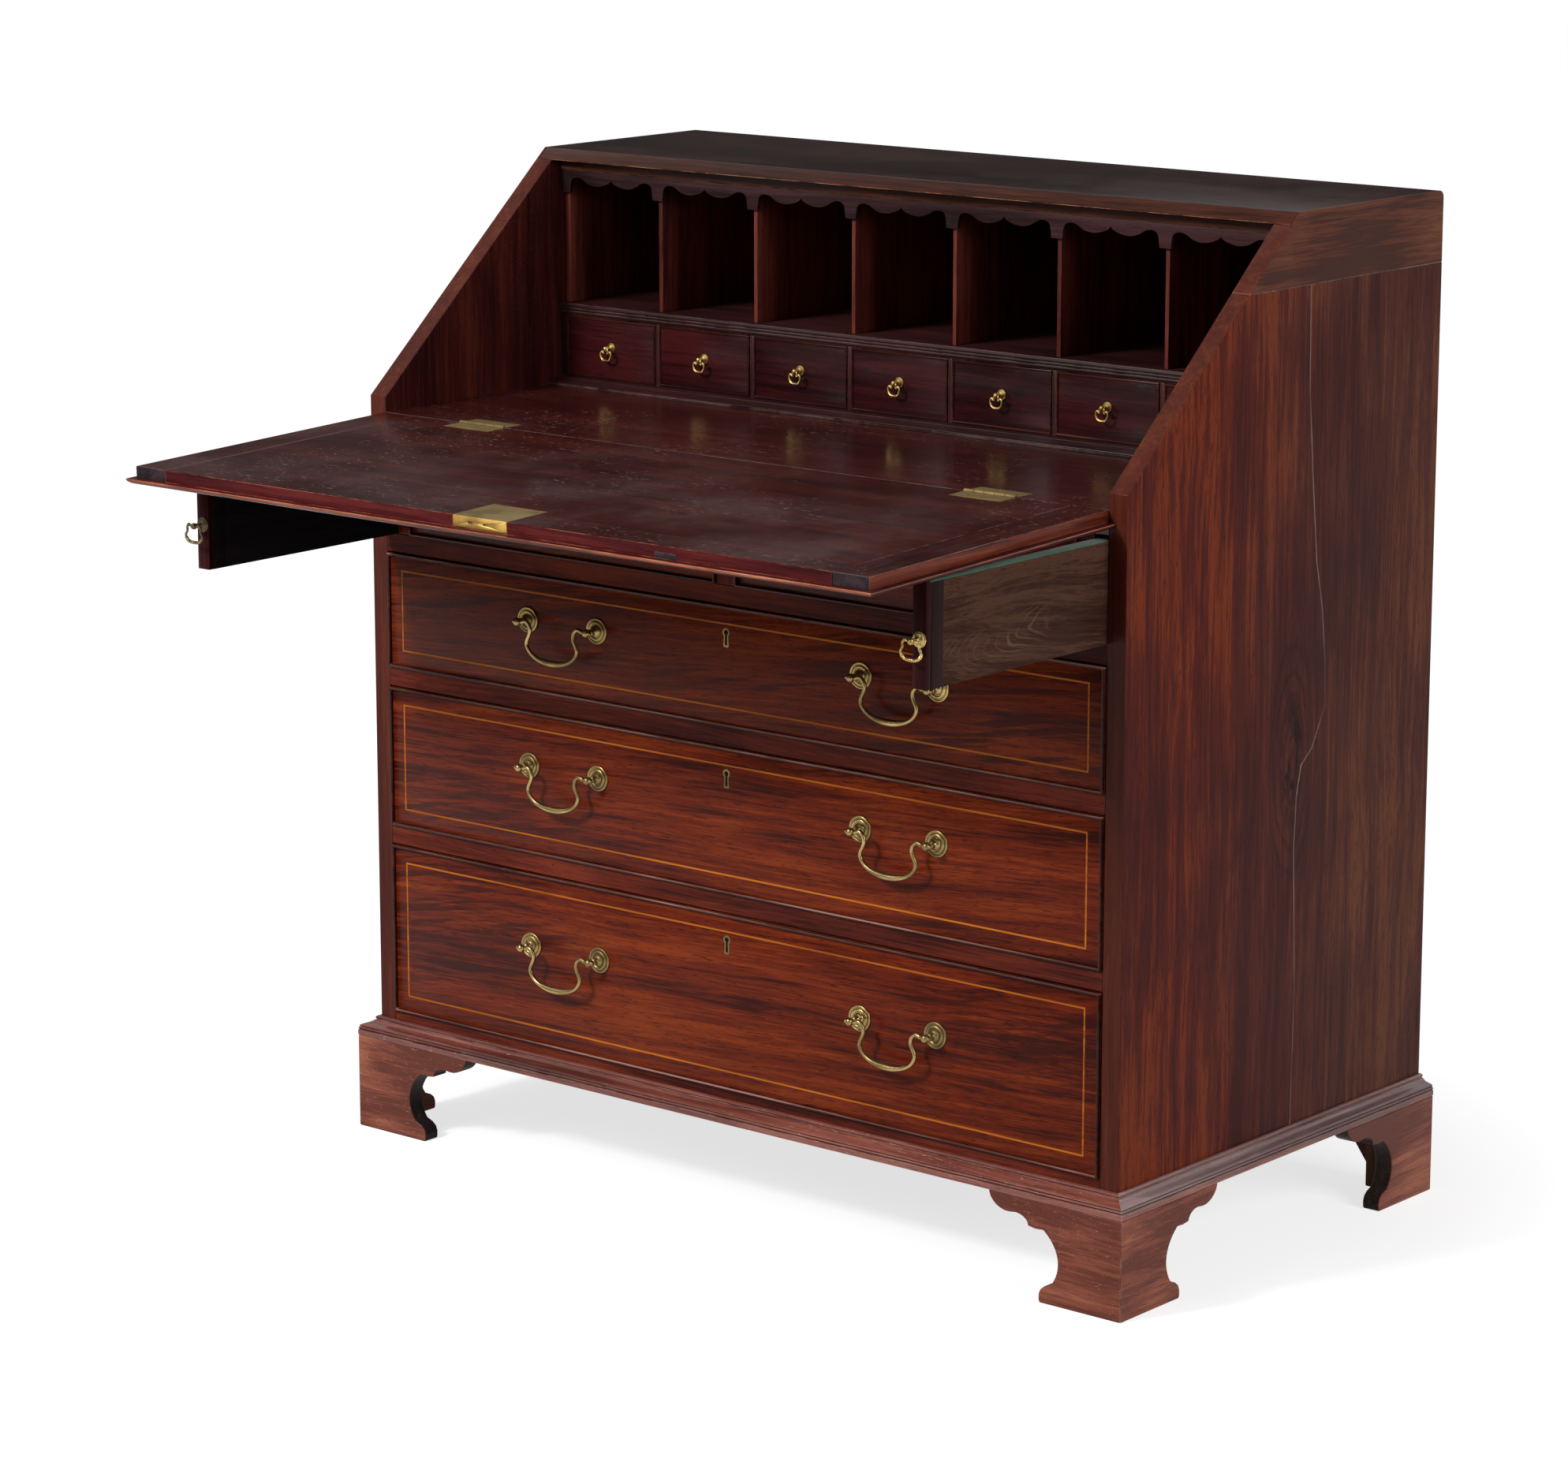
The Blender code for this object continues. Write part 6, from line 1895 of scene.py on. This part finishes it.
@dataclass
class Fall:
    """The writing flap: a board between two cleats, a thumbnail lip on three sides, a lock and two hinges.

    Its pieces are made in its own frame, with the pin at the origin and the flap level towards -Y.
    """

    length: float = 0.36249
    body: float = 0.0125
    lip_reach: float = 0.008
    lip_thick: float = 0.0065
    lip_run: float = 0.012
    lip_soft: float = 0.0004
    joint: float = 0.0009
    cleat: float = 0.043
    side_clear: float = 0.0005
    hinge_place: float = 0.336
    hinge_width: float = 0.063
    hinge_leaf: float = 0.026
    hinge_thick: float = 0.0016
    knuckle: float = 0.0023
    knuckle_groove: float = 0.0026
    knuckles: int = 5
    knuckle_soft: float = 0.0003
    lock_width: float = 0.070
    lock_depth: float = 0.058
    lock_thick: float = 0.0015
    lock_drop: float = 0.0115
    bolt_slots: tuple[float, float] = (-0.34, 0.22)
    slot_half: float = 0.0028
    slot_deep: float = 0.0012
    works_half: float = 0.025
    works_depth: float = 0.038
    works_drop: float = 0.0092
    works_start: float = 0.0008
    patch_place: float = 0.235
    patch_width: float = 0.026
    clear: float = 0.01

    @property
    def half(self) -> float:
        """Half the width of the flap between the sides of the case."""
        return SIZES.inner - self.side_clear

    @property
    def step(self) -> float:
        """How far the lip's inner edge lies inside the edge of the body."""
        return self.lip_run - self.lip_reach

    def hang(self, piece: Piece) -> Piece:
        """Carry a piece from the flap's own frame to its open place."""
        spot = Vector((0, SIZES.front, SIZES.write))
        piece.data.transform(Matrix.Translation(spot) @ Matrix.Rotation(SIZES.droop, 4, "X"))
        return piece

    def thumbnail(self, edge: float) -> Outline:
        """The lip's section as (outwards, down), for an edge of the body at a distance."""
        tip = edge + self.lip_reach
        turns = arc(0.0, math.pi / 2, 7)
        curve = [
            (tip - self.lip_run * (1 - math.cos(a)), -self.body - self.lip_thick * math.sin(a)) for a in turns
        ]
        return [(edge - self.step, -self.body)] + curve

    def seats(self, field: Piece) -> None:
        """Let the hinges and the lock into the board."""
        front, reach, deep = -self.length, self.hinge_width / 2 + GAP, self.knuckle_groove
        for side in Side:
            middle = side.value * self.hinge_place
            low = (middle - reach, -self.hinge_leaf - GAP, -self.hinge_thick - GAP)
            groove = [(0, 0), (deep, 0), (deep, 2 * reach), (0, 2 * reach)]
            start = Vector((middle - reach, 0, 0))
            recess = block("recess", low, (middle + reach, self.clear, self.clear), 0)
            cut(field, recess, lathe("groove", groove, start, Axis.SIDEWAYS, 24))
        half = self.lock_width / 2 + GAP
        for depth, drop in ((self.lock_depth, self.lock_thick), (self.lock_thick, self.lock_drop)):
            low = (-half, front - self.clear, -drop - GAP)
            cut(field, block("seat", low, (half, front + depth + GAP, self.clear), 0))

    def boards(self) -> None:
        """Build the board and the cleats."""
        thick = self.body + self.lip_thick
        set_in = self.length - self.step
        outline = [
            (-self.joint, 0), (-self.length, 0), (-self.length, -self.body), (-set_in, -self.body),
            (-set_in, -thick), (-self.joint, -thick),
        ]
        line = self.half - self.cleat
        field = board("fall_board", outline, Plane.FLANK, -line + GAP / 2, line - GAP / 2, 0)
        self.seats(field)
        self.hang(soften(field, EASED, 2))
        settle(field, "fall", INNER.material(Grain.ALONG_X, 1.3), "inner_mahogany", "fall_panel")
        paint(field, LIP_WORN.material(Grain.ALONG_X, 1.3), self.rubbed)
        paint(field, VENEER.material(Grain.ALONG_X, 3.1), faces("z", -1, 0.8))
        paint(field, FALL_EDGE.material(Grain.ALONG_X, 0.4), faces("y", -1, 0.8))
        for side in Side:
            way = side.value
            ends = (way * (line + GAP / 2), way * self.half)
            piece = board(f"fall_cleat_{side.word}", outline, Plane.FLANK, *ends, 0)
            cut(piece, block("step", (way * (self.half - self.step), -1, -1), (way, 1, -self.body), 0))
            self.hang(soften(piece, EASED, 2))
            settle(piece, "fall", INNER.material(Grain.ALONG_Y, 0.6 * way), "inner_mahogany")
            paint(piece, VENEER.material(Grain.ALONG_Y, 3.1), faces("z", -1, 0.8))
            paint(piece, FALL_SIDE.material(Grain.ALONG_Y, 0.5), faces("x", way, 0.5))
            paint(piece, END_GRAIN.material(Grain.ALONG_Y, 0.2), faces("y", -1, 0.8))

    def rubbed(self, normal: Vector, spot: Vector) -> bool:
        """Whether a face lies on the arris where the flap meets the writing board."""
        return spot.y > SIZES.front - 0.0025 and 0.2 < normal.z < 0.98

    def patch(self) -> None:
        """Build the small dark repair let into the front edge."""
        middle, half, front = self.patch_place, self.patch_width / 2, -self.length
        low = (middle - half, front - 0.00015, -self.body + 0.0002)
        piece = block("fall_repair", low, (middle + half, front + 0.0004, -self.body / 2), 0.0001)
        self.hang(piece)
        settle(piece, "fall", END_GRAIN.material(Grain.ALONG_X, 0.7), "inner_mahogany")

    def lip(self) -> None:
        """Build the lip in three lengths, mitred at the front corners."""
        far, wide = self.length + 2 * self.lip_run, self.half + 2 * self.lip_run
        section = [(-out, up) for out, up in self.thumbnail(self.length)]
        front = board("fall_lip_front", section, Plane.FLANK, -wide, wide, 0)
        for side in Side:
            mitre(front, (side.value * self.half, -self.length, 0), (side.value, 1, 0))
        self.hang(soften(front, self.lip_soft, 1))
        settle(front, "fall", LIP.material(Grain.ALONG_X, 0.5), "inner_mahogany")
        paint(front, LIP_WORN.material(Grain.ALONG_X, 0.5), faces("y", -1, 0.72))
        for side in Side:
            way = side.value
            section = [(way * out, up) for out, up in self.thumbnail(self.half)]
            piece = board(f"fall_lip_{side.word}", section, Plane.FRONT, -far, -self.joint, 0)
            mitre(piece, (way * self.half, -self.length, 0), (-way, -1, 0))
            self.hang(soften(piece, self.lip_soft, 1))
            settle(piece, "fall", LIP.material(Grain.ALONG_Y, 0.5), "inner_mahogany")
            paint(piece, LIP_WORN.material(Grain.ALONG_Y, 0.5), faces("x", way, 0.92))

    def screw(self, x: float, y: float) -> Piece:
        """Build a slotted screw head, flush with the face of a plate."""
        profile = [(0, -0.0004), (0.0021, -0.0004), (0.0021, 0.00005), (0.0018, 0.00018), (0, 0.00022)]
        head = lathe("screw", profile, Vector((x, y, 0)), Axis.UP, 16)
        turn = math.sin(900 * x + 70 * y)
        bpy.ops.mesh.primitive_cube_add(size=1, location=(x, y, 0.0003), rotation=(0, 0, turn))
        slot = bpy.context.object
        slot.scale = (0.005, 0.0005, 0.0007)
        bake_place(slot)
        return cut(head, slot)

    def hinge(self, side: Side, moving: bool) -> None:
        """Build one leaf with its knuckles and screws: the moving one lies on the flap."""
        start = side.value * self.hinge_place - self.hinge_width / 2
        way = -1 if moving else 1
        root = way * (self.knuckle + GAP)
        leaf_high = (start + self.hinge_width, way * self.hinge_leaf, 0)
        parts = [block("leaf", (start, root, -self.hinge_thick), leaf_high, SHARP)]
        length = self.hinge_width / self.knuckles
        run, radius, soft = length - GAP, self.knuckle, self.knuckle_soft
        profile = [
            (0, 0), (radius - soft, 0), (radius, soft), (radius, run - soft), (radius - soft, run),
            (0, run),
        ]
        for k in range(1 if moving else 0, self.knuckles, 2):
            first = start + k * length + GAP / 2
            parts.append(lathe("barrel", profile, Vector((first, 0, 0)), Axis.SIDEWAYS, 24))
            tab_low = (first, way * self.knuckle / 2, -self.hinge_thick)
            parts.append(block("tab", tab_low, (first + run, root + way * 0.001, 0), 0))
        for x, y in ((0.18, 0.42), (0.5, 0.72), (0.82, 0.42)):
            parts.append(self.screw(start + self.hinge_width * x, way * self.hinge_leaf * y))
        node = f"hinge_{'moving' if moving else 'fixed'}_{side.word}"
        piece = joined(f"{node}_leaf", parts)
        if moving:
            self.hang(piece)
        else:
            piece.data.transform(Matrix.Translation((0, SIZES.front, SIZES.write)))
        settle(piece, "fall" if moving else "case", PLATE_BRASS.material(), "aged_brass", node)

    def lock(self) -> None:
        """Build the lock: its plate on the writing side, its slotted plate on the edge, and its case."""
        half, front = self.lock_width / 2, -self.length
        plate = block("plate", (-half, front, -self.lock_thick), (half, front + self.lock_depth, 0), CRISP)
        corners = [(x * half, front + self.lock_depth * y) for y in (0.14, 0.86) for x in (-0.86, 0.86)]
        plate = joined("fall_lock_plate", [plate] + [self.screw(x, y) for x, y in corners])
        edge_low = (-half, front - 0.0001, -self.lock_drop)
        edge = block("fall_lock_edge", edge_low, (half, front + self.lock_thick, -0.0001), CRISP)
        for share in self.bolt_slots:
            x = share * half
            slot_low = (x - self.slot_half, front - self.clear, -self.lock_drop * 0.62)
            slot_high = (x + self.slot_half, front + self.slot_deep, -self.lock_drop * 0.40)
            cut(edge, block("slot", slot_low, slot_high, 0))
        case_low = (-self.works_half, front + self.works_start, -self.works_drop)
        case_high = (self.works_half, front + self.works_depth, -self.lock_thick)
        case = block("fall_lock_case", case_low, case_high, 0.0004)
        for piece, nodes in ((plate, ["fall_lock"]), (edge, []), (case, [])):
            settle(self.hang(piece), "fall", PLATE_BRASS.material(), "aged_brass", *nodes)
        paint(edge, EDGE_BRASS.material(), faces("y", -1, 0.7))

    def build(self) -> None:
        """Build the flap with its lip, lock and hinges."""
        self.boards()
        self.lip()
        self.lock()
        self.patch()
        for side in Side:
            self.hinge(side, True)
            self.hinge(side, False)


# Studio


@dataclass(frozen=True)
class Lamp:
    """A square soft light, the spot that it is aimed at, its size and its power."""

    name: str
    spot: tuple[float, float, float]
    aim: tuple[float, float, float]
    size: float
    power: float

    def hang(self) -> None:
        """Hang the light and aim it."""
        bpy.ops.object.light_add(type="AREA", location=self.spot)
        lamp = bpy.context.object
        lamp.name = self.name
        lamp.data.size = self.size
        lamp.data.energy = self.power
        way = Vector(self.aim) - Vector(self.spot)
        lamp.rotation_euler = way.to_track_quat("-Z", "Y").to_euler()


LAMPS = (
    Lamp("key_light", (-1.0, -3.3, 3.0), (0, -0.1, 0.5), 0.6, 106),
    Lamp("key_spread", (-1.05, -3.45, 3.1), (0, -0.1, 0.5), 2.4, 76),
    Lamp("side_light", (3.8, 0.1, 1.8), (0.4, 0.1, 0.5), 1.8, 78),
)


@dataclass
class Studio:
    """The floor, the world and the camera at the photograph's view."""

    camera_spot: tuple[float, float, float] = (3.206, -3.758, 1.604)
    yaw: float = math.radians(39.785)
    pitch: float = math.radians(12.40)
    lens: float = 113.75
    ambient: float = 0.08
    ceiling: float = 0.04
    horizon: tuple[float, float] = (0.005, -0.01)
    overhead: tuple[float, float] = (0.32, 0.50)
    floor_reach: float = 14.0
    floor_grey: float = 0.46
    glow_reach: tuple[float, float] = (0.6, 1.1)
    glow: tuple[float, float] = (0.74, 0.97)

    def camera(self) -> None:
        """Set the camera where the photograph was taken."""
        x, y, z = self.camera_spot
        bpy.ops.object.camera_add(location=(x, y + SIZES.front, z))
        camera = bpy.context.object
        camera.name = "photo_camera"
        level = math.cos(self.pitch)
        back = Vector((math.sin(self.yaw) * level, -math.cos(self.yaw) * level, math.sin(self.pitch)))
        camera.rotation_euler = (-back).to_track_quat("-Z", "Y").to_euler()
        camera.data.lens = self.lens
        camera.data.sensor_width = 36
        camera.data.clip_end = 100
        bpy.context.scene.camera = camera

    def floor(self) -> None:
        """Lay a pale floor that keeps the desk's shadow."""
        bpy.ops.mesh.primitive_circle_add(vertices=96, radius=self.floor_reach, fill_type="NGON")
        floor = bpy.context.object
        floor.name = "studio_floor"
        material, wires, shader, place = new_material("studio_floor")
        path = wires.add("LightPath").outputs
        eye = wires.most(path["Is Camera Ray"], path["Is Transmission Ray"])
        eye = wires.most(eye, path["Is Glossy Ray"])
        away = wires.add("VectorMath", {0: place}, operation="LENGTH").outputs["Value"]
        glow = wires.times(eye, wires.spread(away, *self.glow_reach, *self.glow))
        grey = (self.floor_grey, self.floor_grey, self.floor_grey, 1)
        wires.feed(shader, {"Base Color": grey, "Roughness": 0.9, "Specular IOR Level": 0.0})
        wires.feed(shader, {"Emission Color": (1, 1, 1, 1), "Emission Strength": glow})
        floor.data.materials.append(material)

    def world(self) -> None:
        """Light evenly from all round, and show white to the camera."""
        world = bpy.data.worlds.new("studio_world")
        bpy.context.scene.world = world
        world.use_nodes = True
        wires = Wires(world.node_tree)
        background = world.node_tree.nodes["Background"]
        path = wires.add("LightPath").outputs
        way = wires.add("SeparateXYZ", {0: wires.add("TexCoord").outputs["Generated"]}).outputs
        mirrored_white = wires.spread(way["Z"], *self.horizon, self.ceiling, 1.0)
        mirrored_white = wires.most(mirrored_white, wires.spread(way["Z"], *self.overhead))
        mirrored_white = wires.times(mirrored_white, path["Is Glossy Ray"])
        lighting = wires.times(path["Is Diffuse Ray"], self.ambient)
        seen = wires.most(path["Is Camera Ray"], path["Is Transmission Ray"])
        strength = wires.most(seen, wires.most(mirrored_white, lighting))
        wires.feed(background, {"Color": (1, 1, 1, 1), "Strength": strength})

    def build(self) -> None:
        """Set up the whole studio."""
        self.camera()
        self.floor()
        self.world()
        for lamp in LAMPS:
            lamp.hang()
        bpy.context.scene.view_settings.view_transform = "Standard"


def main() -> None:
    """Build every sub-assembly in order, then the studio."""
    logging.basicConfig(level=logging.INFO, format="%(name)s: %(message)s")
    for kind in (Carcass, BaseMoulding, BracketFeet, Gallery, LongDrawers, ShortDrawers, Lopers, Fall):
        log.info("building the %s", kind.__name__)
        kind().build()
    Studio().build()


if __name__ == "__main__":
    main()
